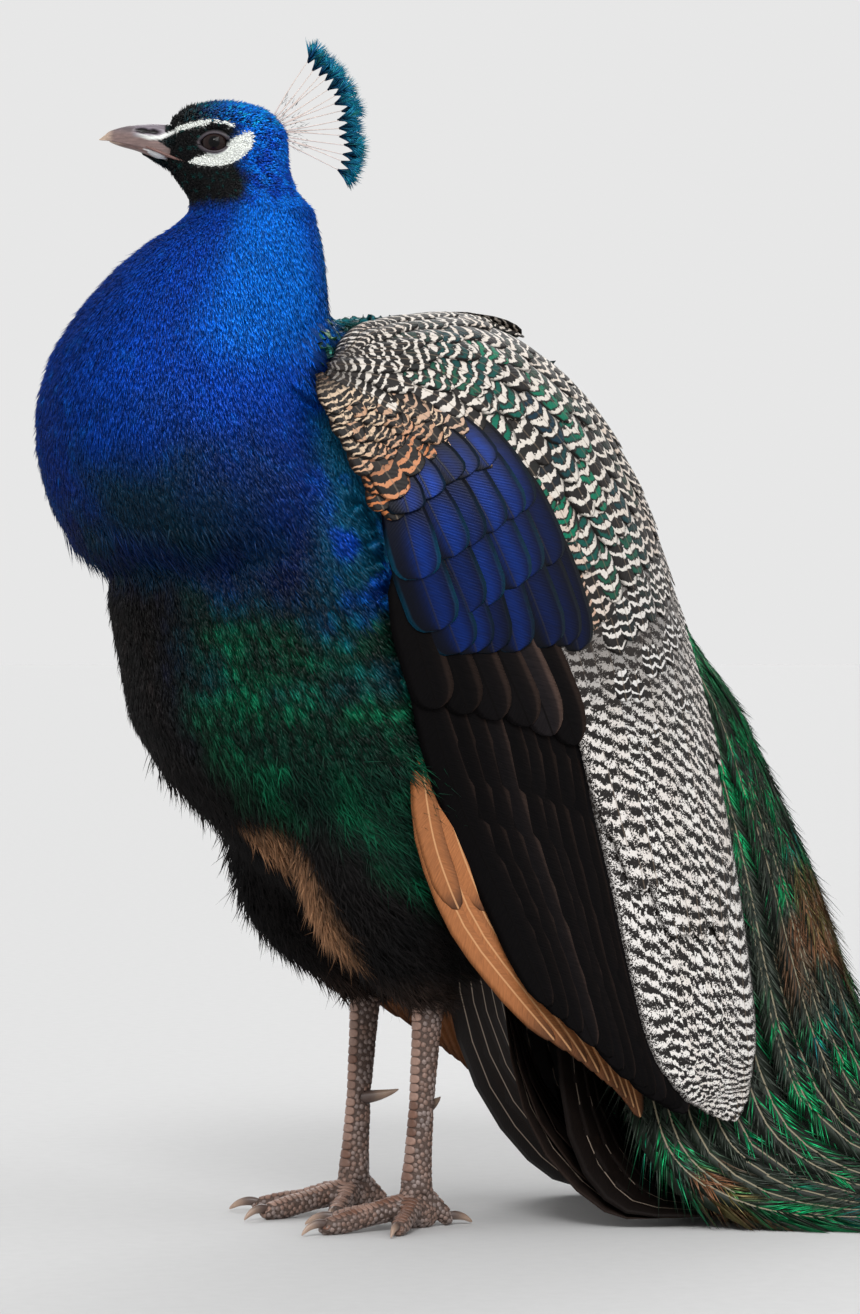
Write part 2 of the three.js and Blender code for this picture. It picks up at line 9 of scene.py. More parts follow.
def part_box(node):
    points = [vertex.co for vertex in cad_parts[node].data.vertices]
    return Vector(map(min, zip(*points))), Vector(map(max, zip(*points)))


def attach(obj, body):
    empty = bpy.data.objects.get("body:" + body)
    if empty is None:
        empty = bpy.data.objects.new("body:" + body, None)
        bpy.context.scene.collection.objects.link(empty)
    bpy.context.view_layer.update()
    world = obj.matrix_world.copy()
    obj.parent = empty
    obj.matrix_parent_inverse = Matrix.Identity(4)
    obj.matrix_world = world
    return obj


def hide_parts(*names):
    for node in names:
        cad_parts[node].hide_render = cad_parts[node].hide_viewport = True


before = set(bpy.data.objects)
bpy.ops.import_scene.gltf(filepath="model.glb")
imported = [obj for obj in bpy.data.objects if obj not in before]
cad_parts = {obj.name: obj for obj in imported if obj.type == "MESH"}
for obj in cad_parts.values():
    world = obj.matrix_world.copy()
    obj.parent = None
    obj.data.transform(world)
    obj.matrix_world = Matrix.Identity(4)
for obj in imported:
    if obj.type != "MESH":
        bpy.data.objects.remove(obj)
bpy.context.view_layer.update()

random = np.random.default_rng(11)

# Shapes are worked out in millimetres round the point on the ground midway between the
# hips: the bird faces -X, its left side is towards -Y, and its head is turned to its right.
bird = {"headTurn": 25, "neckAxis": -114, "hipSpread": 45}
eyes = {"ahead": 23.2, "out": 14.2, "height": 637.9, "radius": 8}
headTurn = math.radians(bird["headTurn"])
headForward = np.array([-math.cos(headTurn), math.sin(headTurn), 0])
headLeft = np.array([-math.sin(headTurn), -math.cos(headTurn), 0])
up = np.array([0.0, 0.0, 1.0])
sides = {"left": -1, "right": 1}


def headPoint(ahead, out, height):
    ahead, out, height = (np.asarray(value, float)[..., None] for value in (ahead, out, height))
    return np.array([bird["neckAxis"], 0, 0]) + ahead * headForward + out * headLeft + height * up


def toHead(points):
    # ahead of the neck's axis, out from the head's middle, height
    rest = points - np.array([bird["neckAxis"], 0, 0])
    return rest @ headForward, rest @ headLeft, points[..., 2]


eyeBox = np.array([list(corner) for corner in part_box("eye_left")])
standing = eyeBox.mean(axis=0) * 1000 - headPoint(eyes["ahead"], eyes["out"], eyes["height"])


def toFrame(points):
    return (np.asarray(points, float) + standing) / 1000


def toBird(points):
    return np.asarray(points, float) * 1000 - standing


def unit(vectors):
    return vectors / np.maximum(np.linalg.norm(vectors, axis=-1, keepdims=True), 1e-9)


def flattened(ways, normals, share=1.0):
    # ways laid into the surface that has these normals
    return unit(ways - normals * (ways * normals).sum(axis=-1, keepdims=True) * share)


def smooth(low, high, value):
    share = np.clip((value - low) / (high - low), 0, 1)
    return share * share * (3 - 2 * share)


def blend(first, second, share):
    return first + (second - first) * np.asarray(share)[..., None]


def pairs(first, second):
    return np.stack(np.broadcast_arrays(first, second), axis=-1).astype(float)


def jitter(values, amount):
    return values + amount * (random.random(values.shape) - 0.5) * 2


def colour(red, green, blue):
    # a screen colour as the linear one that the shaders take
    tone = np.array([red, green, blue]) / 255
    return np.where(tone <= 0.04045, tone / 12.92, ((tone + 0.055) / 1.055) ** 2.4)


def withGloss(tone, gloss):
    # colours with one more channel
    gloss = np.broadcast_to(np.asarray(gloss, float)[..., None], tone.shape[:-1] + (1,))
    return np.concatenate([tone, gloss], axis=-1)


noise = {"turned": np.array([[0.36, 0.48, -0.8], [-0.8, 0.6, 0.0], [0.48, 0.64, 0.6]]),
         "sizes": (1, 0.62, 0.37), "shares": (0.5, 0.32, 0.18), "contrast": 1.4, "apart": 17.31}


def cloud(points, size, seed=0):
    # soft noise from 0 to 1 with lumps of about that size, in three turned layers
    turned = noise["turned"]
    layers = [lumps(place, size * part, seed + index) for index, (place, part) in
              enumerate(zip((points @ turned, points @ turned @ turned, points @ turned.T), noise["sizes"]))]
    total = sum(share * layer for share, layer in zip(noise["shares"], layers))
    return np.clip((total - 0.5) * noise["contrast"] + 0.5, 0, 1)


def lumps(points, size, seed):
    place = points / size + noise["apart"] * seed
    cell = np.floor(place).astype(np.int64)
    part = place - cell
    part = part * part * (3 - 2 * part)
    total = np.zeros(points.shape[:-1])
    for corner in np.ndindex(2, 2, 2):
        at = cell + np.array(corner)
        mixed = at[..., 0] * 73856093 ^ at[..., 1] * 19349663 ^ at[..., 2] * 83492791
        mixed = (mixed ^ (mixed >> 13)) * 1274126177 & 0xFFFFFF
        weight = np.where(np.array(corner) == 1, part, 1 - part).prod(axis=-1)
        total += weight * (mixed / 0xFFFFFF)
    return total


def through(values, at):
    # a smooth curve through values, at places counted from the first
    values, at = np.asarray(values, float), np.asarray(at, float)
    last = len(values) - 1
    start = np.clip(np.floor(at), 0, last - 1).astype(int)
    share = (at - start).reshape(at.shape + (1,) * (values.ndim - 1))
    before, after = np.maximum(start - 1, 0), np.minimum(start + 2, last)
    a, b, c, d = values[before], values[start], values[start + 1], values[after]
    inside = np.clip(share, 0, 1)
    bend = inside * (c - a + inside * (2 * a - 5 * b + 4 * c - d + inside * (3 * (b - c) + d - a)))
    return b + 0.5 * bend + (share - inside) * (c - b)


class Field:
    # a shader socket that takes part in sums
    def __init__(self, tree, socket):
        self.tree = tree
        self.socket = socket

    def node(self, kind, settings, inputs, output=0):
        made = self.tree.nodes.new(kind)
        for key, value in settings.items():
            if key == "stops":
                setStops(made.color_ramp, value)
            else:
                setattr(made, key, value)
        for key, value in inputs.items():
            if isinstance(value, Field):
                self.tree.links.new(value.socket, made.inputs[key])
            else:
                made.inputs[key].default_value = value
        return Field(self.tree, made.outputs[output])

    def beside(self, output):
        # another output of the same node
        return Field(self.tree, self.socket.node.outputs[output])

    def sum(self, operation, first, second=0.0, third=0.0):
        return self.node("ShaderNodeMath", {"operation": operation}, {0: first, 1: second, 2: third})

    def __add__(self, other):
        return self.sum("ADD", self, other)

    def __sub__(self, other):
        return self.sum("SUBTRACT", self, other)

    def __rsub__(self, other):
        return self.sum("SUBTRACT", other, self)

    def __mul__(self, other):
        return self.sum("MULTIPLY", self, other)

    def __truediv__(self, other):
        return self.sum("DIVIDE", self, other)

    __radd__ = __add__
    __rmul__ = __mul__

    def steps(self, low, high):
        # 0 below low, 1 above high, and smooth between
        inputs = {"Value": self, "From Min": low, "From Max": high}
        return self.node("ShaderNodeMapRange", {"interpolation_type": "SMOOTHSTEP"}, inputs)

    def mix(self, first, second):
        # two colours, by this share
        return self.node("ShaderNodeMix", {"data_type": "RGBA"}, {0: self, 6: first, 7: second}, output=2)

    def wave(self):
        return self.sum("SINE", self * (2 * math.pi))

    def size(self):
        return self.sum("ABSOLUTE", self)

    def scaled(self, shade):
        return self.node("ShaderNodeVectorMath", {"operation": "SCALE"}, {0: self, "Scale": shade})


def setStops(ramp, stops):
    while len(ramp.elements) < len(stops):
        ramp.elements.new(1.0)
    for element, (place, tone) in zip(ramp.elements, stops):
        element.position, element.color = place, tone


def rgba(tone):
    return (*[float(part) for part in tone], 1.0)


class Finish:
    # a material with one shader, and the fields that its pattern starts from
    def __init__(self, name, **sockets):
        self.material = bpy.data.materials.new(name)
        self.material.use_nodes = True
        self.tree = self.material.node_tree
        self.shader = self.tree.nodes["Principled BSDF"]
        for key, value in sockets.items():
            self.shader.inputs[key.replace("_", " ")].default_value = value
        self.node = Field(self.tree, None).node

    def attribute(self, name, output="Color"):
        return self.node("ShaderNodeAttribute", {"attribute_name": name}, {}, output)

    def noise(self, scale, detail=2.0, vector=None):
        vector = vector or self.node("ShaderNodeTexCoord", {}, {}, "Object")
        inputs = {"Scale": scale, "Detail": detail, "Vector": vector}
        return self.node("ShaderNodeTexNoise", {}, inputs, "Fac")

    def vanePlace(self):
        # across and along the vane; the vane's own number, then reach and rim from its root and shaft
        flat = self.node("ShaderNodeUVMap", {"uv_map": "Vane"}, {}, "UV")
        across = self.node("ShaderNodeSeparateXYZ", {}, {"Vector": flat})
        seed = self.node("ShaderNodeSeparateColor", {}, {"Color": self.attribute("place")}, "Red")
        return across, across.beside("Y"), seed, seed.beside("Green"), seed.beside("Blue")

    def spot(self, x, y, z):
        return self.node("ShaderNodeCombineXYZ", {}, {"X": x, "Y": y, "Z": z}, "Vector")

    def feed(self, socket, field):
        self.tree.links.new(field.socket, self.shader.inputs[socket])

    def bump(self, height, distance, strength):
        inputs = {"Height": height, "Distance": distance, "Strength": strength}
        self.feed("Normal", self.node("ShaderNodeBump", {}, inputs))


def plumageFinish(name, grain, roughness, variety=0.35):
    # colour and gloss come from the coat's own attributes, broken up by fine grain
    look = Finish(name, Roughness=roughness, Specular_IOR_Level=0.22)
    fine, broad = look.noise(grain, 3.0), look.noise(grain / 14)
    look.feed("Base Color", look.attribute("tint").scaled((1 - variety) + fine * variety + broad * variety))
    look.feed("Metallic", look.attribute("tint", "Alpha"))
    look.bump(fine, 0.0004, 0.5)
    return look.material


def vertexPlaces(mesh):
    points = np.zeros(len(mesh.vertices) * 3)
    mesh.vertices.foreach_get("co", points)
    return points.reshape(-1, 3)


def linked(name, data):
    made = bpy.data.objects.new(name, data)
    bpy.context.scene.collection.objects.link(made)
    return made


def toMesh(name, shape):
    mesh = bpy.data.meshes.new(name)
    shape.to_mesh(mesh)
    shape.free()
    return mesh


def addObject(name, mesh, materials, colours, replaced=()):
    # a mesh as a smooth piece of the body, with colours for its points
    mesh.polygons.foreach_set("use_smooth", np.ones(len(mesh.polygons), bool))
    for label, values in colours.items():
        layer = mesh.color_attributes.new(label, "FLOAT_COLOR", "POINT")
        full = np.ones((len(mesh.vertices), 4))
        full[:, : values.shape[1]] = values
        layer.data.foreach_set("color", full.ravel())
    for material in materials:
        mesh.materials.append(material)
    made = linked(name, mesh)
    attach(made, "root")
    if replaced:
        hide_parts(*replaced)
    return made


def addPiece(name, points, faces, material, colours, patches, replaced=(), vanes=None):
    # one mesh from arrays in millimetres, with its colours and its maps
    mesh = bpy.data.meshes.new(name)
    mesh.from_pydata(toFrame(points), [], faces.tolist() if isinstance(faces, np.ndarray) else faces)
    corners = np.zeros(len(mesh.loops), int)
    mesh.loops.foreach_get("vertex_index", corners)
    for label, values in (("OFBake", patches), ("Vane", vanes)):
        if values is not None:
            mesh.uv_layers.new(name=label).data.foreach_set("uv", values[corners].ravel())
    return addObject(name, mesh, [material], colours, replaced)


def squares(count, flat):
    # each of many small shapes gets its own square of the map that is baked
    cells = math.ceil(math.sqrt(count))
    corner = np.stack([np.arange(count) % cells, np.arange(count) // cells], axis=1)[:, None, :]
    return ((corner + flat[None]) / cells).reshape(-1, 2)


camera = {"distance": 3000, "turn": 25, "height": 336, "lens": 137, "sensor": 36}
lights = {
    # where from, how wide the light is in degrees, strength
    "key": {"from": (-1300, -2300, 2100), "spread": 18, "power": 1.3},
    "fill": {"from": (1800, -2600, 900), "spread": 60, "power": 0.35},
    "rim": {"from": (1500, 2200, 1500), "spread": 30, "power": 0.8},
}
softbox = {"from": (190, -1500, 1840), "at": (-114, -40, 640), "size": 1.4, "power": 30.0}
studio = {"strength": 0.8, "floor": (200, 208), "size": 400.0}


def aimed(name, data, place, turned):
    made = linked(name, data)
    made.location = toFrame(np.array(place, float))
    made.rotation_mode = "QUATERNION"
    made.rotation_quaternion = turned
    return made


def setCamera():
    turn = math.radians(camera["turn"])
    toward = np.array([math.sin(turn), math.cos(turn), 0])
    data = bpy.data.cameras.new("camera")
    data.sensor_width, data.lens = camera["sensor"], camera["lens"]
    place = -toward * camera["distance"] + up * camera["height"]
    bpy.context.scene.camera = aimed("camera", data, place, Vector(toward).to_track_quat("-Z", "Y"))


def setLights():
    for name, facts in lights.items():
        data = bpy.data.lights.new(name, "SUN")
        data.angle, data.energy = math.radians(facts["spread"]), facts["power"]
        aimed(name, data, facts["from"], Vector(facts["from"]).to_track_quat("Z", "Y"))
    # a soft box that is only seen as a reflection
    data = bpy.data.lights.new("softbox", "AREA")
    data.shape, data.size, data.energy = "SQUARE", softbox["size"], softbox["power"]
    away = Vector(softbox["from"]) - Vector(softbox["at"])
    made = aimed("softbox", data, softbox["from"], away.to_track_quat("Z", "Y"))
    made.visible_diffuse, made.visible_camera = False, False
    world = bpy.data.worlds.new("studio")
    world.use_nodes = True
    world.node_tree.nodes["Background"].inputs["Color"].default_value = (1.0, 1.0, 1.0, 1.0)
    world.node_tree.nodes["Background"].inputs["Strength"].default_value = studio["strength"]
    bpy.context.scene.world = world
    bpy.context.scene.view_settings.view_transform = "Standard"


def setFloor():
    shape = bmesh.new()
    bmesh.ops.create_grid(shape, x_segments=1, y_segments=1, size=studio["size"] / 2)
    mesh = toMesh("floor", shape)
    look = Finish("floor paint", Roughness=0.9)
    darker, lighter = (rgba(colour(tone, tone, tone)) for tone in studio["floor"])
    look.feed("Base Color", look.noise(90.0, 3.0).mix(darker, lighter))
    mesh.materials.append(look.material)
    linked("floor", mesh)


setCamera()
setLights()
setFloor()
print("stage set; standing point", np.round(standing, 2))

# Skin and coat take their colours from this one set of rules.
tones = {
    "azure": colour(0, 118, 226),
    "royal": colour(0, 72, 184),
    "deep": colour(2, 38, 112),
    "navy": colour(3, 18, 58),
    "cyan": colour(0, 160, 215),
    "teal": colour(0, 86, 120),
    "sea": colour(0, 112, 128),
    "patch": colour(0, 42, 44),
    "green": colour(0, 100, 66),
    "moss": colour(3, 52, 38),
    "black": colour(9, 9, 11),
    "soot": colour(24, 19, 18),
    "umber": colour(58, 44, 37),
    "buff": colour(160, 118, 86),
    "white": colour(240, 243, 238),
}

# The bare white skin of the face, as ahead and height in the head's side view.
browStripe = [(68, 643.4), (62, 641.8), (55.5, 641.8), (46.6, 646.4), (38, 648.8), (27.4, 650.6)]
browRear = [(23.4, 650.7), (18, 649.9), (12.8, 648.0)]
cheekPatch = [
    (40.4, 627.2), (33, 624.9), (26, 624.0), (19, 624.2), (13, 625.9), (7, 629), (2.4, 633.6),
    (0.3, 638.5), (0.6, 642.5), (3.2, 645.4), (6.4, 644.8), (9.5, 642), (13, 640.6), (15, 637.6),
    (16.5, 635.0), (22, 632.4), (28.3, 631.4), (34, 629.8),
]
stripeHalf = 1.75


def lineDistance(ahead, height, points):
    nearest = np.full(ahead.shape, 1e9)
    for (x0, z0), (x1, z1) in zip(points, points[1:]):
        run, rise = x1 - x0, z1 - z0
        share = np.clip(((ahead - x0) * run + (height - z0) * rise) / (run * run + rise * rise), 0, 1)
        nearest = np.minimum(nearest, np.hypot(ahead - x0 - run * share, height - z0 - rise * share))
    return nearest


def insideShape(ahead, height, points):
    inside = np.zeros(ahead.shape, bool)
    for (x0, z0), (x1, z1) in zip(points, points[1:] + points[:1]):
        crosses = (z0 > height) != (z1 > height)
        inside ^= crosses & (ahead < x0 + (height - z0) * (x1 - x0) / ((z1 - z0) or 1e-9))
    return inside


def whiteness(points):
    ahead, out, height = toHead(points)
    thin = 0.45 + 0.55 * smooth(64, 50, ahead)
    stripe = lineDistance(ahead, height, browStripe) < stripeHalf * thin
    stripe |= lineDistance(ahead, height, browRear) < stripeHalf * 0.62
    side = smooth(4.5, 8.5, np.abs(out))
    return np.where(stripe | insideShape(ahead, height, cheekPatch), side, 0)


def around(points):
    # angle from straight ahead round the neck's axis, the same on both sides, in degrees
    return np.degrees(np.arctan2(np.abs(points[..., 1]), bird["neckAxis"] - points[..., 0]))


def browLine(ahead):
    return np.interp(ahead, [-30, 0, 12.8, 27.4, 46.6, 62], [646, 647, 649.5, 652, 649, 643])


def headColours(points):
    ahead, _, height = toHead(points)
    glints = cloud(points, 1.9, 3)
    crown = blend(tones["black"], tones["sea"], smooth(0.42, 0.75, glints) * smooth(46, 26, ahead))
    bead = blend(tones["azure"], tones["cyan"], smooth(0.55, 0.8, glints))
    bead = blend(bead, tones["navy"], smooth(0.42, 0.2, glints) * 0.85)
    crown = blend(crown, bead, smooth(36, 4, ahead + 12 * (glints - 0.5)) * 0.95)
    face = blend(tones["black"], colour(0, 60, 58), smooth(0.62, 0.86, glints))
    # the black of lores, cheek and throat, up to the blue of crown and nape
    edge = ahead - 0.16 * (height - 600) + 9 * (cloud(points, 7, 5) - 0.5)
    low = smooth(606, 588, height + 9 * (cloud(points, 5, 5) - 0.5))
    above = smooth(-0.5, 1.5, height - browLine(ahead))
    blue = blend(tones["royal"], tones["azure"], smooth(0.3, 0.7, cloud(points, 4, 6)))
    result = blend(face, blue, np.clip(smooth(9, -3, edge) + low, 0, 1))
    result = blend(result, crown, above * smooth(4, -8, ahead - 40))
    return blend(result, crown, above)


def bellyEdge(x):
    # how high the black of the belly reaches, higher towards the breastbone
    return np.clip(208 + 0.75 * (-57 - x), 200, 330)


def bodyColours(points):
    x, height = points[..., 0], points[..., 2]
    turn = around(points)
    broad, mid, fine = (cloud(points, size, 9 + size) for size in (46, 17, 6))
    # painted light and shade on the neck: lighter azure high on its side as if lit from above, and small
    # azure flecks as painted highlights; painted shade in deep blue towards the front and lower down
    blue = smooth(34, 62, turn) * smooth(150, 95, turn) * smooth(505, 560, height + 30 * broad)
    blue = blend(tones["royal"], tones["azure"], blue)
    blue = blend(blue, tones["deep"], smooth(26, -4, turn + 14 * (mid - 0.5)) * 0.85)
    blue = blend(blue, tones["deep"], smooth(505, 440, height + 34 * (broad - 0.5)) * 0.75)
    blue = blend(blue, tones["azure"], smooth(0.62, 0.9, fine) * 0.25)
    ragged = 40 * (broad - 0.5) + 18 * (mid - 0.5)
    patch = smooth(500, 446, height + 0.3 * turn + ragged) * smooth(372, 418, height + ragged)
    patch = patch * smooth(0, 30, turn + 0.4 * ragged) * smooth(96, 44, turn + 0.5 * ragged)
    blue = blend(blue, tones["patch"], patch * 0.85)
    # painted shade: the lowest part of the neck darkens to navy mottled with dark green
    low = blend(tones["navy"], tones["patch"], smooth(0.3, 0.75, mid))
    blue = blend(blue, low, smooth(446, 392, height + 40 * (broad - 0.5)) * (1 - patch * 0.6) * 0.9)
    # the breast under the wing's bend is teal, then green, then black
    side = smooth(-205, -150, x) * smooth(505, 470, height)
    teal = blend(tones["teal"], tones["royal"], smooth(0.45, 0.75, mid))
    teal = blend(teal, tones["patch"], smooth(0.55, 0.8, broad) * 0.7)
    result = blend(blue, teal, smooth(82, 104, turn) * side)
    green = blend(tones["moss"], tones["green"], smooth(0.3, 0.75, mid))
    green = blend(green, tones["teal"], smooth(0.55, 0.85, broad) * smooth(300, 360, height))
    slant = 0.3 * np.clip(turn - 60, 0, 60) + 46 * (broad - 0.5) + 30 * (mid - 0.5)
    result = blend(result, green, smooth(396, 352, height + slant) * smooth(20, 44, turn))
    dark = blend(tones["black"], tones["soot"], mid)
    front = smooth(400, 366, height + 16 * (mid - 0.5)) * smooth(62, 16, turn + 20 * (broad - 0.5))
    result = blend(result, dark, front)
    result = blend(result, dark, smooth(14, -22, height - bellyEdge(x) + 22 * (mid - 0.5)))
    # the back behind the neck is green-gold
    mantle = blend(tones["sea"], tones["moss"], smooth(0.4, 0.8, mid))
    result = blend(result, mantle, smooth(-92, -66, x) * smooth(470, 500, height))
    return blend(result, blend(tones["soot"], tones["moss"], 0.4 * mid), smooth(60, 90, x))


def thighColours(points):
    # a pale strip runs down the leading edge of the near thigh
    height = points[..., 2]
    lean = points[..., 0] + 0.54 * (height - 200)
    inner = bird["hipSpread"] + 8 - np.abs(points[..., 1])
    lean = lean + 8 * (cloud(points, 14, 4) - 0.5)
    strip = smooth(-91, -99, lean) * smooth(-124, -114, lean) * smooth(-16, 2, inner)
    strip = strip * smooth(246, 232, height) * (points[..., 1] < 0)
    dark = blend(tones["black"], tones["soot"], cloud(points, 20, 2))
    return blend(blend(dark, tones["buff"], strip), tones["umber"], smooth(158, 140, height) * 0.8)


def markings(points):
    # colour, and how metallic the plumage is, for each point
    height = points[..., 2]
    edge = np.minimum(bellyEdge(points[..., 0]) - 6, 246)
    onThigh = smooth(8, -14, height - edge) * (np.abs(points[..., 1]) > 12)
    onHead = smooth(598, 608, height + 3 * cloud(points, 6, 8))
    tint = blend(bodyColours(points), headColours(points), onHead)
    tint = blend(tint, thighColours(points), onThigh)
    white = whiteness(points) * smooth(610, 616, height)
    tint = blend(tint, tones["white"], white)
    return withGloss(tint, np.clip(tint.max(axis=-1) * 3.2, 0, 1) * 0.4 * (1 - white) * (1 - onThigh))


fleshNodes = ["head", "neck_upper", "neck_lower", "trunk", "thigh_left", "thigh_right"]
legNodes = ["shank_left", "foot_left", "shank_right", "foot_right"]
wingNodes = ["wing_left", "wing_right"]
skinSizes = {
    "voxel": 0.0033, "rounds": 46, "headRounds": 5, "headFrom": 598, "wingBottom": 285, "underWing": 6.5,
    "legVoxel": 0.0015, "legRounds": 5, "leg": colour(104, 86, 78),
}
spine = {"x": (-70, -30, 10, 30, 70), "z": (565, 546, 537, 535, 515), "from": (-75, -45), "share": 0.9}


def meshArrays(mesh):
    mesh.calc_loop_triangles()
    faces = np.zeros(len(mesh.loop_triangles) * 3, int)
    mesh.loop_triangles.foreach_get("vertices", faces)
    normals = np.zeros(len(mesh.vertices) * 3)
    mesh.vertices.foreach_get("normal", normals)
    return toBird(vertexPlaces(mesh)), faces.reshape(-1, 3), normals.reshape(-1, 3)


def treeOf(points, faces):
    return BVHTree.FromPolygons(points.tolist(), faces.tolist())


def joinedNodes(names, wings=()):
    shape = bmesh.new()
    for name in wings:
        shape.from_mesh(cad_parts[name].data)
    bmesh.ops.remove_doubles(shape, verts=shape.verts, dist=1e-6)
    if wings:
        geometry = shape.verts[:] + shape.edges[:] + shape.faces[:]
        bottom = toFrame(up * skinSizes["wingBottom"])
        bmesh.ops.bisect_plane(shape, geom=geometry, plane_co=bottom, plane_no=up, clear_inner=True)
        bmesh.ops.holes_fill(shape, edges=[edge for edge in shape.edges if edge.is_boundary], sides=0)
    for name in names:
        shape.from_mesh(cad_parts[name].data)
    bmesh.ops.remove_doubles(shape, verts=shape.verts, dist=1e-6)
    return toMesh("joined", shape)


def remeshed(mesh, voxel, rounds, bodyRounds=0):
    # one closed surface with even faces, smoothed, and below the head smoothed more
    made = linked("work", mesh)
    grid = made.modifiers.new("grid", "REMESH")
    grid.mode, grid.voxel_size = "VOXEL", voxel
    mesh = bpy.data.meshes.new_from_object(made.evaluated_get(bpy.context.evaluated_depsgraph_get()))
    made.modifiers.clear()
    made.data = mesh
    body = made.vertex_groups.new(name="body")
    body.add(np.nonzero(toBird(vertexPlaces(mesh))[:, 2] < skinSizes["headFrom"])[0].tolist(), 1.0, "REPLACE")
    for repeats, group in ((bodyRounds, "body"), (rounds, "")):
        if repeats:
            soften = made.modifiers.new("soften", "SMOOTH")
            soften.factor, soften.iterations, soften.vertex_group = 0.5, repeats, group
    mesh = bpy.data.meshes.new_from_object(made.evaluated_get(bpy.context.evaluated_depsgraph_get()))
    bpy.data.objects.remove(made)
    return mesh


def coatDepth(points):
    # how deep the skin lies under the tips of the coat, in mm
    height = points[..., 2]
    return 2.4 - 1.5 * smooth(590, 612, height) + 1.6 * smooth(300, 240, height)


def unwrap(points):
    # a cylinder's unwrap round the body: the turn across and the height up
    turn = np.arctan2(points[..., 1], -points[..., 0] - 60)
    return np.stack([turn / (2 * math.pi) + 0.5, points[..., 2] / 720 + 0.02], axis=-1)


def skinFinish():
    look = Finish("skin under the plumage", Roughness=0.6, Specular_IOR_Level=0.2)
    fine = look.noise(900.0, 3.0)
    look.feed("Base Color", look.attribute("tint").scaled(fine * 0.8 + 0.3))
    look.feed("Metallic", look.attribute("tint", "Alpha"))
    look.bump(fine, 0.0008, 0.6)
    return look.material


bodyMesh = joinedNodes(fleshNodes, wingNodes)
bodyMesh = remeshed(bodyMesh, skinSizes["voxel"], skinSizes["headRounds"], skinSizes["rounds"])
skinPoints, skinFaces, skinNormals = meshArrays(bodyMesh)
skinPoints = skinPoints - skinNormals * coatDepth(skinPoints)[:, None]
wingTrees = [treeOf(*meshArrays(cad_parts[name].data)[:2]) for name in wingNodes]


def underWing(points, reach=9.0):
    # where the wings lie on the skin, so that it needs no coat of its own
    near = [[tree.find_nearest(Vector(point), reach)[0] for tree in wingTrees] for point in points]
    return np.array([any(found) for found in near])


def tuckedUnder(points, depth):
    # what lies near the wings' outer faces is pushed in below their feathers
    result = points.copy()
    for index, point in enumerate(points):
        for tree in wingTrees:
            found, normal, _, _ = tree.find_nearest(Vector(point), 3 * depth)
            if found is None or normal.y * point[1] <= 0 and normal.z < 0.3:
                continue
            above = (Vector(point) - found).dot(normal) + depth
            if above > 0:
                result[index] -= np.array(normal) * above
    return result


skinPoints = tuckedUnder(skinPoints, skinSizes["underWing"])
# the spine stays below the wings' upper edges
over = np.maximum(skinPoints[:, 2] - np.interp(skinPoints[:, 0], spine["x"], spine["z"]), 0)
skinPoints[:, 2] -= spine["share"] * over * smooth(*spine["from"], skinPoints[:, 0])
skinTree = treeOf(skinPoints, skinFaces)
legMesh = remeshed(joinedNodes(legNodes), skinSizes["legVoxel"], 0, skinSizes["legRounds"])
legPoints, legFaces, legNormals = meshArrays(legMesh)
legTree = treeOf(legPoints, legFaces)
print("skin", len(skinFaces), "faces, legs", len(legFaces))


def faceAreas(corners):
    return np.linalg.norm(np.cross(corners[:, 1] - corners[:, 0], corners[:, 2] - corners[:, 0]), axis=1)


def sample(count, weight):
    # points spread over the skin by area and weight, with their normals
    corners = skinPoints[skinFaces]
    total = np.cumsum(faceAreas(corners) * weight(corners.mean(axis=1)))
    picked = np.searchsorted(total, (np.arange(count) + random.random(count)) / count * total[-1])
    first, second = random.random(count), random.random(count)
    over = first + second > 1
    first[over], second[over] = 1 - first[over], 1 - second[over]
    shares = np.stack([1 - first - second, first, second], axis=1)[..., None]
    points = (corners[picked] * shares).sum(axis=1)
    normals = unit((skinNormals[skinFaces[picked]] * shares).sum(axis=1))
    bare = ~underWing(points)
    return points[bare], normals[bare]


def lie(points, normals):
    # the way the plumage lies: back over the head, down the neck, down and back on the body
    height, x = points[:, 2:3], points[:, 0:1]
    back = smooth(500, 400, height) * 0.62 + smooth(-120, 40, x) * 1.2
    down = np.concatenate([back, np.zeros_like(back), -np.ones_like(back)], axis=1)
    face = -headForward - up * (0.35 + 0.9 * smooth(10, -20, toHead(points)[0][:, None]))
    return flattened(down + (face - down) * smooth(600, 618, height), normals)


tuft = {
    "faces": np.array([[0, 2, 1], [0, 3, 2], [1, 2, 3], [0, 1, 3]]), "ridge": (0.4, 0.55),
    "patch": np.array([[-0.5, 0], [0.5, 0], [0, 0.4], [0, 1]]) * 0.003,
}


def tufts(points, normals, ways, length, width, rise, thick=0.25):
    # thin closed blades: two root corners, a ridge and a tip
    side = np.cross(ways, normals)
    length, width, rise = (np.asarray(value).reshape(-1, 1) for value in (length, width, rise))
    along, lift = tuft["ridge"]
    return np.stack([
        points + side * width / 2,
        points - side * width / 2,
        points + ways * length * along + normals * (rise * length * lift + thick),
        points + ways * length + normals * rise * length,
    ], axis=1)


def addTufts(name, blades, tints, material, slotName, places=None):
    # tints has one colour for each blade, or one for each of its corners
    faces = (np.arange(len(blades))[:, None, None] * 4 + tuft["faces"]).reshape(-1, 3)
    places = unwrap(blades[:, 0]) if places is None else places
    patches = (places[:, None, :] + tuft["patch"]).reshape(-1, 2)
    tints = np.repeat(tints, 4, axis=0) if tints.ndim == 2 else tints.reshape(-1, 4)
    return addPiece(name, blades.reshape(-1, 3), faces, material, {"tint": tints}, patches, ())


def varied(tints, amount):
    # each tuft a little lighter or darker than its neighbours
    result = tints.copy()
    shade = 1 + amount * (random.random(len(tints)) - 0.5) * 2
    result[:, :3] = np.clip(result[:, :3] * shade[:, None], 0, 1)
    return result


def clearOfEyes(points, reach=6.4):
    ahead, out, height = toHead(points)
    flat = np.hypot((ahead - eyes["ahead"]) / 1.42, height - eyes["height"])
    return (flat > reach) | (np.abs(out) < 8)


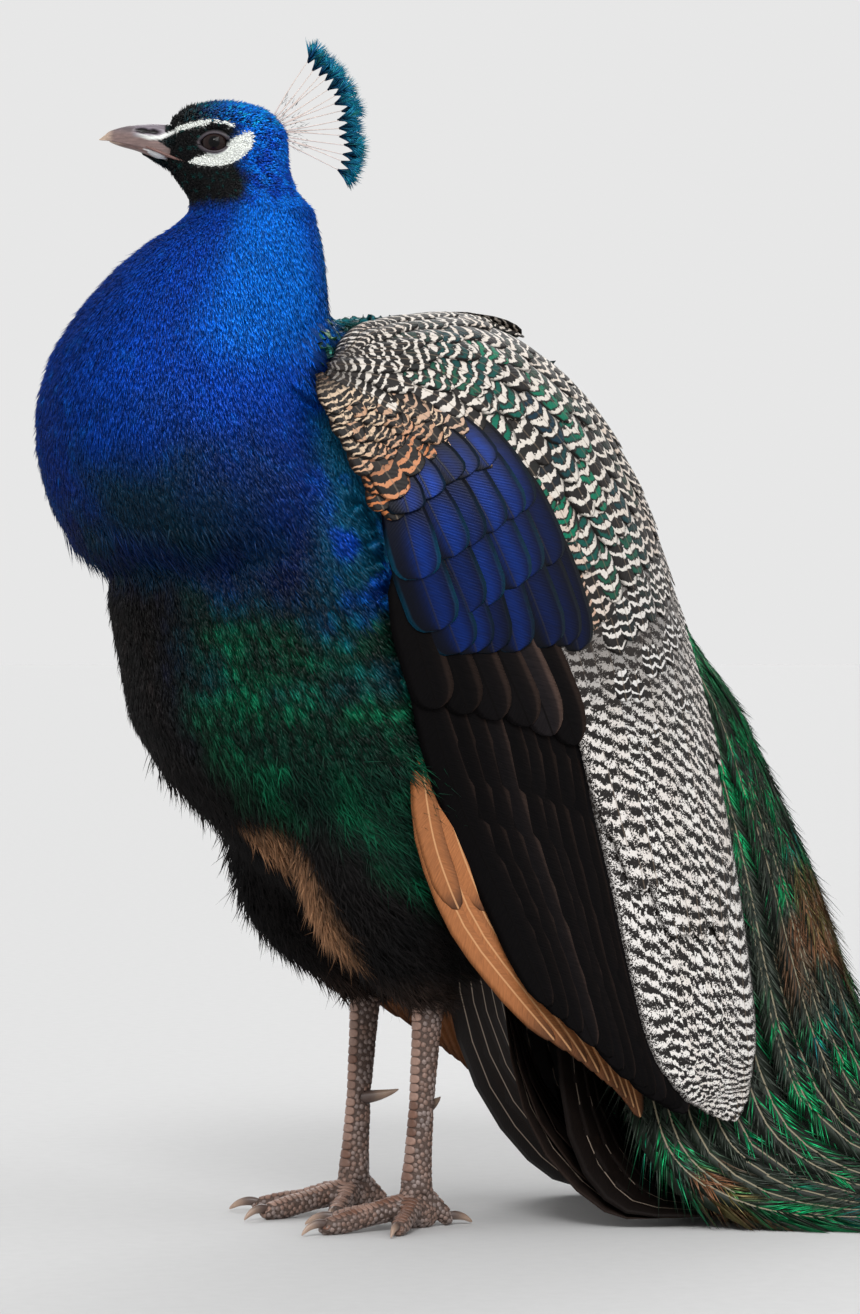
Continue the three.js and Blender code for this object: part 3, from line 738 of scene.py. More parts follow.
coats = {
    "neck": {"count": 84000, "length": 7.5, "width": 0.85, "rise": 0.11, "variety": 0.5},
    "fringe": {"count": 2600, "length": 17, "width": 0.8, "rise": 0.12, "spread": 0.2},
    "head": {"count": 21000, "length": 2.3, "width": 0.85, "rise": 0.24, "spread": 0.25, "variety": 0.7},
    "breast": {"count": 76000, "length": 9, "width": 0.95, "rise": 0.1},
    "belly": {"count": 38000, "length": 15, "width": 1.0, "rise": 0.16, "spread": 0.3},
}


def coatOn(name, weight, change=None):
    # the blades of one coat and their colours; change adapts colours, lengths, widths and rises
    facts = coats[name]
    points, normals = sample(facts["count"], weight)
    ways = unit(lie(points, normals) + facts.get("spread", 0.12) * random.normal(size=points.shape))
    lengths = facts["length"] * (0.7 + 0.6 * random.random(len(points)))
    shaped = [markings(points), lengths, facts["width"], facts["rise"], 0.25]
    if change:
        shaped = change(points, *shaped)
    blades = tufts(points, normals, ways, *shaped[1:])
    return points, blades, varied(shaped[0], facts.get("variety", 0.4))


def onNeck(points):
    height = points[:, 2]
    near = smooth(386, 396, height) * (height < 607) * (points[:, 0] < -60)
    return near * (1 + 0.5 * smooth(560, 600, height))


def onFringe(points):
    return (points[:, 2] > 388) * (points[:, 2] < 414) * (points[:, 0] < -130) * 1.0


def onHead(points):
    return (points[:, 2] > 601) * clearOfEyes(points) * (toHead(points)[0] < 60)


def onBreast(points):
    x, height = points[:, 0], points[:, 2]
    bare = (height > 400) * smooth(-196, -236, x)
    return smooth(505, 480, height) * (height > 255) * (1 - bare) * (x < -20)


def onBelly(points):
    return smooth(290, 262, points[:, 2]) * (1 + 1.2 * smooth(220, 150, points[:, 2]))


fineLook = plumageFinish("fine glossy plumage", 420.0, 0.36)
fluffLook = plumageFinish("soft dark plumage", 300.0, 0.75)


def spotted(points, tints, *others):
    # soft rows of rounded spots on the breast: bright towards their lower ends, dark between
    turn, height = around(points), points[:, 2] + 5 * (cloud(points, 22, 3) - 0.5)
    row = height / 11.5 + 2.2 * cloud(points, 44, 7) + 0.5 * cloud(points, 9, 8)
    place = turn / 6.4 + 1.2 * cloud(points, 30, 12) + 0.5 * (np.floor(row) % 2)
    down = 1 - (row - np.floor(row))
    aside = np.abs(place - np.floor(place) - 0.5) * 2
    spot = smooth(0.95, 0.45, np.hypot(aside, (down - 0.62) * 1.7))
    shade = 0.3 + 1.4 * spot * (0.35 + 0.9 * cloud(points, 16, 5))
    amount = smooth(396, 356, points[:, 2]) * 0.9 + 0.25 * smooth(470, 400, points[:, 2])
    tints[:, :3] *= (1 + (shade - 1) * np.clip(amount, 0, 1))[:, None]
    return tints, *others


def shortAbove(points, tints, lengths, *others):
    return tints, lengths * (0.62 + 0.38 * smooth(604, 560, points[:, 2])), *others


def beaded(points, tints, lengths, width, rise, *_):
    # short curled beads on the crown, and flat white ones on the bare skin
    ahead, _, height = toHead(points)
    crown = smooth(0, 2, height - browLine(ahead)) * (ahead < 45) + smooth(6, -2, ahead) * (height > 612)
    crown = np.clip(crown, 0, 1) * (ahead > -22)
    white = whiteness(points)
    lengths = lengths * (1 - 0.25 * white) * (1 - 0.1 * crown)
    return tints, lengths, width * (1 + 0.9 * crown), rise + 0.7 * crown - 0.14 * white, 0.35


def makeSkin():
    # the body and the scaly legs are one skin
    white = (whiteness(skinPoints) * (skinPoints[:, 2] > 612))[:, None]
    tint = markings(skinPoints)
    tint[:, :3] *= 0.55 + 0.45 * white
    tint = np.concatenate([tint, np.tile([*skinSizes["leg"], 0.0], (len(legPoints), 1))])
    points = np.concatenate([skinPoints, legPoints])
    faces = np.concatenate([skinFaces, legFaces + len(skinPoints)])
    replaced = fleshNodes + legNodes
    addPiece("skin", points, faces, skinFinish(), {"tint": tint}, unwrap(points), replaced)


def addHalves(name, coat, slotName):
    points, blades, tints = coat
    high = points[:, 2] > np.median(points[:, 2])
    for label, half in (("upper", high), ("lower", ~high)):
        addTufts(name + "_plumage_" + label, blades[half], tints[half], fineLook, slotName)


def makeCoats():
    addHalves("neck", coatOn("neck", onNeck, shortAbove), "neck_plumage")
    addTufts("neck_fringe", *coatOn("fringe", onFringe)[1:], fineLook, "neck_plumage")
    points, blades, tints = coatOn("head", onHead, beaded)
    white = whiteness(points)[:, None] > 0.5
    tints = np.where(white, markings(points) * [1.25, 1.25, 1.25, 1], tints)
    addTufts("head_plumage", blades, tints, fineLook, "neck_plumage")
    addHalves("breast", coatOn("breast", onBreast, spotted), "body_plumage")
    addTufts("belly_plumage", *coatOn("belly", onBelly)[1:], fluffLook, "thigh_plumage")


makeSkin()
makeCoats()
print("fine coat made")


def vaneTemplate(steps, across):
    # a closed blade of two sheets that share their rim
    rows, columns = steps + 1, across + 1
    row, column = np.divmod(np.arange(rows * columns), columns)
    inner = (row > 0) & (row < steps) & (column > 0) & (column < across)
    under = np.arange(rows * columns)
    under[inner] = rows * columns + np.arange(inner.sum())
    row, column = np.concatenate([row, row[inner]]), np.concatenate([column, column[inner]])
    level = np.concatenate([np.where(inner, 1, 0), -np.ones(inner.sum())])
    first = (np.arange(steps)[:, None] * columns + np.arange(across)).ravel()
    quads = np.stack([first, first + 1, first + columns + 1, first + columns], axis=1)
    faces = np.concatenate([quads, under[quads][:, ::-1]])
    shares = np.sin(np.linspace(0, 1, rows) * math.pi / 2) ** 0.9
    u, v = (column * 2 / across - 1)[None], shares[row][None]
    return {"row": row, "u": u, "v": v, "level": level, "faces": faces, "shares": shares}


def vaneShape(template, paths, outs, half, profile, camber, thick, roll=0.0):
    # the blades' corners, from each blade's middle line, facing and half width
    tangents = unit(np.gradient(paths, axis=1))
    across = unit(np.cross(tangents, outs))
    across = unit(across - roll * np.cross(across, tangents))
    outs = np.cross(across, tangents)
    row, u, v = template["row"], template["u"], template["v"]
    width = np.broadcast_to(half, len(paths))[:, None] * np.interp(v, *zip(*profile))
    lift = -camber * width * u * u + thick / 2 * template["level"] * (1 - 0.6 * v)
    points = paths[:, row] + across[:, row] * (width * u)[..., None] + outs[:, row] * lift[..., None]
    return points, width * u


def addVanes(name, template, shaped, lengths, paints, material, replaced=()):
    # many blades as one piece; each has its own square in the map that is baked
    points, across = shaped
    count, corners = points.shape[:2]
    u, v = template["u"], template["v"]
    faces = (np.arange(count)[:, None, None] * corners + template["faces"]).reshape(-1, 4)
    patches = squares(count, np.stack([u[0] * 0.44 + 0.5, v[0] * 0.88 + 0.06], axis=1))
    vanes = np.stack([across / 10, np.asarray(lengths)[:, None] * v / 10], axis=-1).reshape(-1, 2)
    seeds = (np.arange(count) * 0.618 % 1)[:, None]
    colours = {**paints, "place": np.stack(np.broadcast_arrays(seeds, v, np.abs(u), 0.0), axis=-1)}
    for label, tone in colours.items():
        tone = tone if tone.ndim == 3 else tone[:, None]
        colours[label] = np.broadcast_to(tone, (count, corners, 4)).reshape(-1, 4)
    addPiece(name, points.reshape(-1, 3), faces, material, colours, patches, replaced, vanes)


# How a vane's width runs from its root to its tip.
roundTip = [(0, 0.4), (0.2, 0.75), (0.5, 1), (0.78, 0.97), (0.91, 0.78), (0.975, 0.45), (1, 0.08)]
longTip = [(0, 0.3), (0.12, 0.7), (0.4, 1), (0.85, 0.96), (0.94, 0.75), (0.985, 0.4), (1, 0.08)]
broadTip = [(0, 0.4), (0.3, 0.8), (0.6, 1), (0.86, 0.98), (0.94, 0.84), (0.98, 0.58), (1, 0.12)]
narrowTip = [(0, 0.5), (0.3, 1), (0.8, 1), (0.95, 0.8), (1, 0.1)]
ovalTip = [(0, 0.25), (0.15, 0.68), (0.35, 0.92), (0.55, 1), (0.75, 0.9), (0.9, 0.62), (1, 0.12)]


def barredFinish(name, broken, specks, rimSpecks, white):
    # dark and light bars across the vane, broken and wavy, with a coloured heart in the dark
    look = Finish(name, Roughness=0.6, Specular_IOR_Level=0.25)
    across, along, seed, reach, rim = look.vanePlace()
    spot = look.spot(across, along, seed * 37.0)
    wave, ragged, speck = look.noise(1.5, 2.0, spot), look.noise(6.0, 2.0, spot), look.noise(13.0, 2.0, spot)
    period = look.attribute("light", "Alpha") * 0.7 + 0.42
    swing = ((along + (across * across) * 0.42 + wave * 0.9 + seed * 3.0) / period).wave()
    level = swing * (1.0 - rim * rim * rimSpecks * 0.3) + (ragged - 0.5) * broken
    level = level + (speck - 0.5) * (specks + rim * rim * rimSpecks)
    share = (level + white).steps(-0.1, 0.16)
    heart = (0.0 - level).steps(0.2, 0.7) * (1.0 - rim.steps(0.6, 0.85))
    tinted = look.attribute("dark", "Alpha")
    ink = (heart * tinted).mix(rgba(colour(22, 17, 15)), look.attribute("dark"))
    shaft = 1.0 - across.size().steps(0.03, 0.06)
    tone = (shaft * 0.5).mix(share.mix(ink, look.attribute("light")), rgba(colour(120, 104, 88)))
    shadow = rim.steps(0.8, 1.0) * 0.55 + (1.0 - reach.steps(0.25, 0.6)) * 0.7
    look.feed("Base Color", shadow.mix(tone, rgba(colour(40, 32, 28))))
    look.bump((along * 3.2 - across.size() * 2.4).wave() * 0.5 + speck, 0.00018, 0.7)
    look.feed("Metallic", heart * tinted * (1.0 - share) * 0.5)
    return look.material


def vaneFinish(name, roughness, shaftTone, shaftShare, variety=0.35, shine=0.2):
    # a plain vane: its own colour, barb lines, and a pale or dark shaft
    look = Finish(name, Roughness=roughness, Specular_IOR_Level=shine)
    across, along, seed, _, _ = look.vanePlace()
    off = across.size()
    streak = look.noise(1.6, 3.0, look.spot(off * 1.2, (along - off * 0.8) * 6.0, seed * 31.0))
    barbs = (along * 5.0 - off * 4.0).wave()
    tone = look.attribute("tint").scaled((1 - variety * 0.5) + (streak - 0.5) * variety * 2.6 + barbs * 0.02)
    shaft = 1.0 - off.steps(0.035, 0.075)
    look.feed("Base Color", (shaft * shaftShare).mix(tone, rgba(shaftTone)))
    look.feed("Metallic", look.attribute("tint", "Alpha") * (1.0 - shaft))
    look.bump(barbs * 0.2 + streak + shaft * 1.2, 0.00018, 0.6)
    return look.material


barredLook = barredFinish("barred plumage", 1.5, 0.9, 0.4, -0.42)
mottledLook = barredFinish("mottled plumage", 3.6, 2.6, 4.0, -0.16)
darkVaneLook = vaneFinish("dark vane", 0.85, colour(10, 8, 8), 0.8, 0.35, 0.05)
rustVaneLook = vaneFinish("rust vane", 0.55, colour(214, 160, 112), 0.75, 0.3)
glossVaneLook = vaneFinish("glossy vane", 0.34, colour(6, 8, 20), 0.5)
tailVaneLook = vaneFinish("tail vane", 0.7, colour(186, 168, 150), 0.7, 0.5, 0.1)
glossScaleLook = vaneFinish("glossy scale feather", 0.4, colour(8, 10, 12), 0.15, 0.7)
trainVaneLook = vaneFinish("train vane", 0.5, colour(150, 140, 116), 0.8)

# The left wing from shoulder to tip: front edge, rear edge and outward bulge. A place on it
# is a section number and a share of the way from front edge to rear edge.
wingSections = [
    [(-108, -80, 500), (-90, -62, 514), 3],
    [(-99, -96, 469), (-47, -28, 537), 16],
    [(-82, -106, 432), (28, -14, 540), 34],
    [(-71, -112, 386), (90, -14, 505), 44],
    [(-56, -113, 334), (132, -16, 446), 47],
    [(-39, -110, 288), (155, -22, 378), 45],
    [(-17, -105, 241), (166, -42, 310), 36],
    [(8, -110, 188), (168, -68, 237), 25],
    [(30, -118, 135), (166, -90, 165), 15],
    [(55, -122, 88), (163, -104, 108), 9],
    [(78, -121, 66), (162, -107, 80), 6],
]
primarySections = [
    [(-45, -96, 322), (-20, -94, 330), 1],
    [(-54, -96, 285), (-5, -94, 292), 2],
    [(-55, -96, 250), (10, -92, 255), 2],
    [(-50, -97, 216), (28, -94, 222), 2],
    [(-33, -99, 177), (48, -96, 184), 2],
    [(-3, -103, 141), (66, -99, 146), 2],
    [(27, -107, 109), (80, -103, 112), 1.5],
    [(48, -108, 84), (86, -104, 86), 1],
]


def facing(surface, place, share, away, step=0.02):
    # the surface's normal there, on the side that points away from a direction
    down = surface(place + 0.05, share) - surface(place - 0.05, share)
    over = surface(place, share + step) - surface(place, share - step)
    out = unit(np.cross(over, down))
    return out * np.where((out * away).sum(axis=-1, keepdims=True) < 0, -1, 1)


def sheetSurface(sections):
    fronts, rears, bulges = zip(*sections)

    def flat(place, share):
        return blend(through(fronts, place), through(rears, place), share)

    def wayOut(place, share):
        chord = through(rears, place) - through(fronts, place)
        out = unit(np.cross(chord, flat(place + 0.3, share) - flat(place - 0.3, share)))
        return out * np.where(out[..., 1:2] > 0, -1, 1)

    def at(place, share):
        swell = through(bulges, place) * 4 * share * (1 - share)
        return flat(place, share) + wayOut(place, np.full_like(share, 0.5)) * swell[..., None]

    def surface(place, share):
        # the outer face there, and the way out of it
        place, share = np.asarray(place, float), np.asarray(share, float)
        return at(place, share), facing(at, place, share, wayOut(place, share), 0.01)

    return surface


wingSurface, primarySurface = sheetSurface(wingSections), sheetSurface(primarySections)


def laidPaths(surface, template, roots, tips, lifts, bow=0.0):
    # each blade's middle line over a surface, from root place to tip place, rising as it goes
    v = template["shares"][None, :]
    place = roots[:, :1] + (tips[:, :1] - roots[:, :1]) * v
    share = roots[:, 1:] + (tips[:, 1:] - roots[:, 1:]) * v + bow * v * (1 - v)
    points, outs = surface(place, share)
    lift = lifts[:, :1] + (lifts[:, 1:] - lifts[:, :1]) * v
    points = points + outs * lift[..., None]
    return points, outs, np.linalg.norm(np.diff(points, axis=1), axis=2).sum(axis=1)


def onWings(name, template, laid, paints, shape, material, node=None, roll=0.0):
    # the same vanes on the left wing and, mirrored, on the right; laid as laidPaths takes it
    surface, *places = laid
    paths, outs, lengths = laidPaths(surface, template, *places)
    for label, side in sides.items():
        flip = np.array([1, -side, 1])
        shaped = vaneShape(template, paths * flip, outs * flip, *shape, roll=-side * roll)
        nodes = (node + label,) if node else ()
        addVanes(name + "_" + label, template, shaped, lengths, paints, material, nodes)


def lowEdge(place):
    # where the barred feathers begin, as a share from the front edge
    shares = [0.1, 0.24, 0.3, 0.36, 0.38, 0.3, 0.28, 0.33, 0.4, 0.41, 0.36]
    return np.interp(place, [0, 1, 2, 3, 4, 4.6, 5, 6, 7, 8, 10], shares)


def rows(starts, low, high, gap):
    # staggered places for rows of feathers
    found = []
    for index, place in enumerate(starts):
        spacing = gap(place)
        first = low(place) + spacing * 0.5 * (index % 2)
        found += [(place, share) for share in np.arange(first, high(place), spacing)]
    return np.array(found)


def wingSpan(place):
    front, rear = (wingSurface(np.array([place]), np.array([share]))[0] for share in (0.0, 1.0))
    return float(np.linalg.norm(rear - front)) * 1.12


def tipsBelow(places, lengths):
    # places that many millimetres down the wing
    here, there = (wingSurface(places[:, 0] + step, places[:, 1])[0] for step in (0, 0.1))
    run = 0.1 / np.maximum(np.linalg.norm(there - here, axis=-1), 1e-3)
    return places + pairs(lengths * run, 0)


scapulars = {"half": 13.5, "length": 66, "rowStep": (0.13, 0.4), "until": 5.0, "lift": (-3.6, -0.2)}


def makeScapulars():
    facts = scapulars
    near, far = facts["rowStep"]
    starts = [0.0]
    while starts[-1] < facts["until"]:
        starts.append(starts[-1] + near + (far - near) * smooth(0, 2.4, starts[-1]))
    low = lambda place: lowEdge(place) + 0.035 * smooth(1.6, 2.2, place) + 0.13 * smooth(3.7, 4.6, place)
    gap = lambda place: (0.55 + 0.45 * smooth(0, 1.8, place)) * facts["half"] * 1.3 / wingSpan(place)
    places = jitter(rows(starts, low, lambda place: 1.02, gap), 0.025)
    down, across = places.T
    count = len(places)
    grow = 0.4 + 0.6 * smooth(0, 2.0, down) + 0.25 * smooth(3, 6, down)
    tips = tipsBelow(places, jitter(facts["length"] * grow, 4))
    # near the shoulder the rows fan out from the point of the wing
    tips[:, 1] += (across - 0.5) * 0.1 * smooth(1.5, 0, down)
    lifts = pairs(facts["lift"][0], facts["lift"][1] - np.arange(count) * 1e-4)
    half = facts["half"] * (0.5 + 0.5 * smooth(0, 1.8, down) + 0.1 * smooth(3, 6, down))
    greens = smooth(0.30, 0.42, across) * smooth(0.86, 0.72, across)
    greens = greens * smooth(0.5, 0.9, down) * smooth(4.4, 3.0, down)
    greens = greens * smooth(0.2, 0.5, random.random(count))
    dark = blend(colour(16, 40, 62), colour(6, 118, 88), random.random(count))
    warm = smooth(1.0, 0.4, (across - lowEdge(down)) / 0.13) * smooth(4.6, 3.6, down)
    rust = random.random(count) ** 3
    light = blend(colour(222, 214, 204), colour(190, 138, 98), warm * 0.85)
    light = blend(light, colour(206, 166, 132), rust * 0.5 * smooth(0.6, 0.95, across))
    light = blend(light, colour(232, 232, 234), smooth(3, 5, down) * 0.7)
    coarse = 0.1 + 0.62 * smooth(0.4, 1.8, down) * smooth(1.05, 0.7, across) * (1 - 0.8 * warm)
    coarse = (coarse + 0.12 * random.random(count)) * (1 - 0.75 * smooth(3.2, 4.6, down))
    paints = {"light": withGloss(light, coarse), "dark": withGloss(dark, greens)}
    onWings("scapulars", vaneTemplate(8, 4), (wingSurface, places, tips, lifts), paints,
            (half, roundTip, 0.1, 0.4), barredLook, "wing_")


lesserCoverts = {"rows": (0.15, 2.0, 0.14), "gap": 8.5, "length": 21.0, "half": 7.4, "lift": (-3.0, -0.4)}


def makeLesserCoverts():
    # cream, then orange, barred, along the bend of the wing
    facts = lesserCoverts
    gap = lambda place: facts["gap"] / wingSpan(place)
    places = rows(np.arange(*facts["rows"]), lambda place: 0.0, lambda place: lowEdge(place) + 0.02, gap)
    places = jitter(places, 0.015)
    tips = tipsBelow(places, jitter(np.full(len(places), facts["length"]), 3)) + [0, 0.01]
    lifts = np.tile([facts["lift"]], (len(places), 1))
    orange = smooth(0.9, 1.7, places[:, 0]) * smooth(0.28, 0.14, places[:, 1])
    light = blend(colour(214, 188, 160), colour(198, 118, 68), orange)
    paints = {"light": withGloss(light, 0.12 * orange), "dark": withGloss(light * 0.1, 0)}
    onWings("lesser_coverts", vaneTemplate(6, 4), (wingSurface, places, tips, lifts), paints,
            (facts["half"], roundTip, 0.1, 0.3), barredLook)


blueRows = [
    # root section, tip sections and shares of the first and last feather, count, half width, lift at the tip
    {"root": 1.9, "tip": (2.5, 2.75), "shares": (0.07, 0.3), "count": 5, "half": 12, "lift": 1.2},
    {"root": 2.0, "tip": (3.2, 3.3), "shares": (0.05, 0.35), "count": 6, "half": 15, "lift": 0.8},
    {"root": 2.3, "tip": (3.8, 3.85), "shares": (0.03, 0.35), "count": 6, "half": 16, "lift": 0.3},
    {"root": 2.6, "tip": (4.1, 4.75), "shares": (0.05, 0.37), "count": 7, "half": 15.5, "lift": -0.2},
]
blueTones = {
    "base": colour(1, 7, 28), "streak": colour(0, 46, 130),
    "rim": colour(0, 120, 160), "root": colour(2, 6, 20),
}
alula = {
    "roots": [[1.55, 0.035], [1.7, 0.10]], "tips": [[2.3, 0.05], [2.25, 0.13]],
    "lifts": [[-2.0, 1.4], [-2.0, 1.0]], "half": [10.5, 9],
    "tone": colour(206, 138, 96), "coarse": [0.6, 0.4],
}


def makeBlueCoverts():
    template = vaneTemplate(14, 10)
    u, v = template["u"], template["v"]
    for number, facts in enumerate(blueRows):
        share = np.linspace(0, 1, facts["count"])
        spot = facts["shares"][0] + (facts["shares"][1] - facts["shares"][0]) * share
        reach = facts["tip"][0] + (facts["tip"][1] - facts["tip"][0]) * share
        tips = jitter(pairs(reach, spot + 0.005), 0.02)
        laid = (wingSurface, pairs(facts["root"], spot), tips, pairs(-3.2, facts["lift"] - 0.25 * share))
        streak = np.exp(-((u + 0.3) / 0.42) ** 2) * smooth(0.3, 0.75, v)
        tone = blend(blueTones["base"], blueTones["streak"], streak)
        bright = (0.15 + 0.7 * random.random(len(share)) ** 2)[:, None]
        tone = blend(tone, blueTones["rim"], smooth(0.86, 1, np.abs(u)) * smooth(0.45, 0.85, v) * bright)
        tone = blend(tone, blueTones["root"], smooth(0.5, 0.1, v) * 0.8)
        late = smooth(0.35, 1, share) * (0.45 + 0.15 * number)
        fade = (0.2 + 0.8 * random.random(len(share))) * (1 - 0.75 * late) * (1 - 0.3 * (number == 3))
        paints = {"tint": withGloss(tone * fade[:, None, None], 0.45)}
        shape = (facts["half"], broadTip, 0.05, 0.5)
        name = "blue_coverts_%d" % (number + 1)
        onWings(name, template, laid, paints, shape, glossVaneLook, roll=0.1)
    # one rounded rust feather at the bend, with a smaller one behind it
    laid = (wingSurface, *(np.array(alula[key]) for key in ("roots", "tips", "lifts")))
    light = np.tile(alula["tone"], (2, 1))
    paints = {"light": withGloss(light, alula["coarse"]), "dark": withGloss(light * 0.2, 0)}
    shape = (np.array(alula["half"]), roundTip, 0.1, 0.5)
    onWings("alula", template, laid, paints, shape, barredLook)


darkRows = [
    # roots and tips as (section, share) of the first and last feather, count, half width, lift
    {"name": "greater_coverts", "roots": ((3.0, 0.0), (3.2, 0.2)), "tips": ((4.6, 0.0), (5.7, 0.3)),
     "count": 6, "half": 14, "lift": (-3.6, -1.2)},
    {"name": "secondaries", "roots": ((3.3, 0.0), (3.9, 0.42)), "tips": ((8.0, -0.04), (10.15, 0.36)),
     "count": 13, "half": 12.5, "lift": (-4.4, -2.6)},
    {"name": "inner_secondaries", "roots": ((4.0, 0.3), (4.2, 0.95)), "tips": ((9.6, 0.3), (9.9, 0.95)),
     "count": 8, "half": 15, "lift": (-6.5, -5.0)},
]
lighterFeather = {"row": "greater_coverts", "index": 4, "shade": 3.4}


def makeDarkVanes():
    template = vaneTemplate(14, 6)
    for facts in darkRows:
        share = np.linspace(0, 1, facts["count"])
        places, tips = (blend(*np.array(facts[key]), share) for key in ("roots", "tips"))
        lifts = pairs(facts["lift"][0] + 0.5 * share, facts["lift"][1] + 0.9 * share)
        laid = (wingSurface, places, jitter(tips, 0.01), lifts)
        tone = blend(colour(13, 11, 12), colour(64, 50, 44), smooth(0.5, 1, -template["u"]) ** 2)
        worn = 0.7 + 0.9 * random.random(len(share)) ** 2
        if facts["name"] == lighterFeather["row"]:
            worn[lighterFeather["index"]] = lighterFeather["shade"]
        onWings(facts["name"], template, laid, {"tint": withGloss(tone * worn[:, None, None], 0)},
                (facts["half"], longTip, 0.09, 0.7), darkVaneLook, roll=0.07)


tertials = {
    "count": 13, "half": 15.5, "lift": (-3.4, -0.8), "rise": (0.8, 1.2),
    "shares": (0, 0.15, 0.3, 0.5, 0.7, 0.85, 1), "reach": (9.3, 9.9, 10.3, 10.55, 10.6, 10.3, 9.4),
}


def makeTertials():
    # two layers of long mottled feathers, the upper one shorter
    share = np.linspace(0, 1, tertials["count"])
    reach = np.interp(share, tertials["shares"], tertials["reach"])
    tips = jitter(pairs(reach, np.interp(share, [0, 1], [0.42, 0.97])), 0.012)
    upper = jitter(pairs(reach - 2.1 - 0.9 * random.random(len(share)), 0.4 + 0.57 * share), 0.015)
    places = np.concatenate([pairs(4.3, 0.36 + 0.6 * share), pairs(3.9, 0.34 + 0.62 * share)])
    both, layer = np.tile(share, 2), np.repeat([0.0, 1.0], len(share))
    (low, high), (root, tip) = tertials["lift"], tertials["rise"]
    lifts = pairs(low + root * layer, high + tip * layer + 0.5 * both)
    light = blend(colour(236, 232, 228), colour(196, 176, 160), random.random(len(both)) * 0.3)
    coarse = 0.42 + 0.45 * random.random(len(both))
    paints = {"light": withGloss(light, coarse), "dark": withGloss(light * 0.1, 0)}
    laid = (wingSurface, places, np.concatenate([tips, upper]), lifts)
    onWings("tertials", vaneTemplate(18, 6), laid, paints, (tertials["half"], longTip, 0.12, 0.7),
            mottledLook, roll=-0.07)


primaries = {"count": 9, "short": 4, "half": 9.5, "base": colour(178, 112, 66), "shade": colour(112, 70, 44),
             "tip": colour(52, 34, 26)}


def makePrimaries():
    # the rust outer feathers, and four shorter ones that lie over them
    template = vaneTemplate(16, 6)
    u, v = template["u"], template["v"]
    share = np.linspace(0, 1, primaries["count"])
    few = share[: primaries["short"]]
    places = np.concatenate([pairs(0.1 + 0.8 * share, 0.1 + 0.75 * share), pairs(1.0, 0.1 + 0.8 * few * 2)])
    tips = [pairs(5.9 + 1.9 * share, 0.12 + 0.82 * share), pairs(3.7 + 0.5 * few, 0.15 + 0.8 * few * 2)]
    count = len(places)
    top = np.concatenate([0 * share, 0 * few + 1])
    lifts = pairs(-1.8 + 1.0 * top, -1.4 + 1.4 * top - 0.12 * np.arange(count))
    tone = blend(primaries["base"], primaries["shade"], smooth(0.2, 1, -u) * 0.7)
    tone = blend(tone, primaries["tip"], smooth(0.86, 1, v) * 0.8)
    paints = {"tint": withGloss(tone * (0.8 + 0.35 * random.random(count))[:, None, None], 0)}
    laid = (primarySurface, places, np.concatenate(tips), lifts, 0.06)
    onWings("rust_primaries", template, laid, paints, (primaries["half"], longTip, 0.1, 0.6),
            rustVaneLook, "primaries_")


makeScapulars()
makeLesserCoverts()
makeBlueCoverts()
makeDarkVanes()
makeTertials()
makePrimaries()
print("wings made")


def draped(template, roots, ways, length, lifts):
    # each blade's middle line, walked over the skin along its way
    steps = np.diff(template["shares"], prepend=0)
    paths, outs = np.zeros((len(roots), len(steps), 3)), np.zeros((len(roots), len(steps), 3))
    for index, (point, way) in enumerate(zip(map(Vector, roots), map(Vector, ways))):
        for row, step in enumerate(steps):
            point, normal, _, _ = skinTree.find_nearest(point + way * (step * length))
            way = (way - normal * way.dot(normal)).normalized()
            paths[index, row] = point + normal * (lifts[0] + (lifts[1] - lifts[0]) * template["shares"][row])
            outs[index, row] = normal
    return paths, outs


scaleSets = {
    # rows along the back and places across it, each as start, stop and step
    "mantle": {"rows": (-98, 30, 4.2), "across": (-58, 58, 5.6), "half": 3.9, "length": 12.0, "tip": 0.6},
    "back": {"rows": (-34, 70, 7.0), "across": (-16, 16, 7.0), "half": 6.0, "length": 18.0, "tip": 0.3},
}


def scaleTints(template, base, edge, bright):
    # a bright middle towards the tip, a dark root and rim
    u, v = np.abs(template["u"]), template["v"]
    tone = base[:, None] * (0.35 + 0.65 * smooth(0.1, 0.6, v))[..., None]
    tone = blend(tone, bright[:, None], smooth(0.35, 0.7, v) * smooth(1.0, 0.45, u) * smooth(1.0, 0.9, v))
    rim = np.maximum(smooth(0.78, 1.0, u) * smooth(0.3, 0.7, v), smooth(0.88, 1.0, v))
    return withGloss(tone + (edge[:, None] - tone) * rim[..., None] * 0.45, 0.4)


def makeScales():
    template = vaneTemplate(6, 4)
    for name, facts in scaleSets.items():
        start, stop, step = facts["across"]
        grid = [(x, y) for index, x in enumerate(np.arange(*facts["rows"]))
                for y in np.arange(start + step / 2 * (index % 2), stop, step)]
        grid = jitter(np.array(grid), 0.6)
        hits = [skinTree.ray_cast(Vector((x, y, 700)), Vector((0, 0, -1)))[:2] for x, y in grid]
        roots, normals = (np.array(part) for part in zip(*[hit for hit in hits if hit[0]]))
        kept = (roots[:, 2] > 440) & (roots[:, 2] < 560) & ~underWing(roots, 2.0)
        roots, normals = roots[kept], normals[kept]
        ways = flattened(np.array([1.0, 0.0, -0.25]) + roots[:, 1:2] * [0, 0.006, 0], normals)
        laid = draped(template, roots, ways, facts["length"], (-0.8, facts["tip"]))
        mixed = cloud(roots, 14, 3)
        base = blend(colour(0, 74, 84), colour(16, 80, 44), mixed)
        bright = blend(colour(0, 128, 140), colour(70, 128, 52), smooth(0.35, 0.75, mixed))
        shaped = vaneShape(template, *laid, facts["half"], roundTip, 0.08, 0.3)
        paints = {"tint": scaleTints(template, base, base * 0.15, bright)}
        lengths = np.full(len(roots), facts["length"])
        addVanes(name + "_scales", template, shaped, lengths, paints, glossScaleLook)


makeScales()
print("scales made")

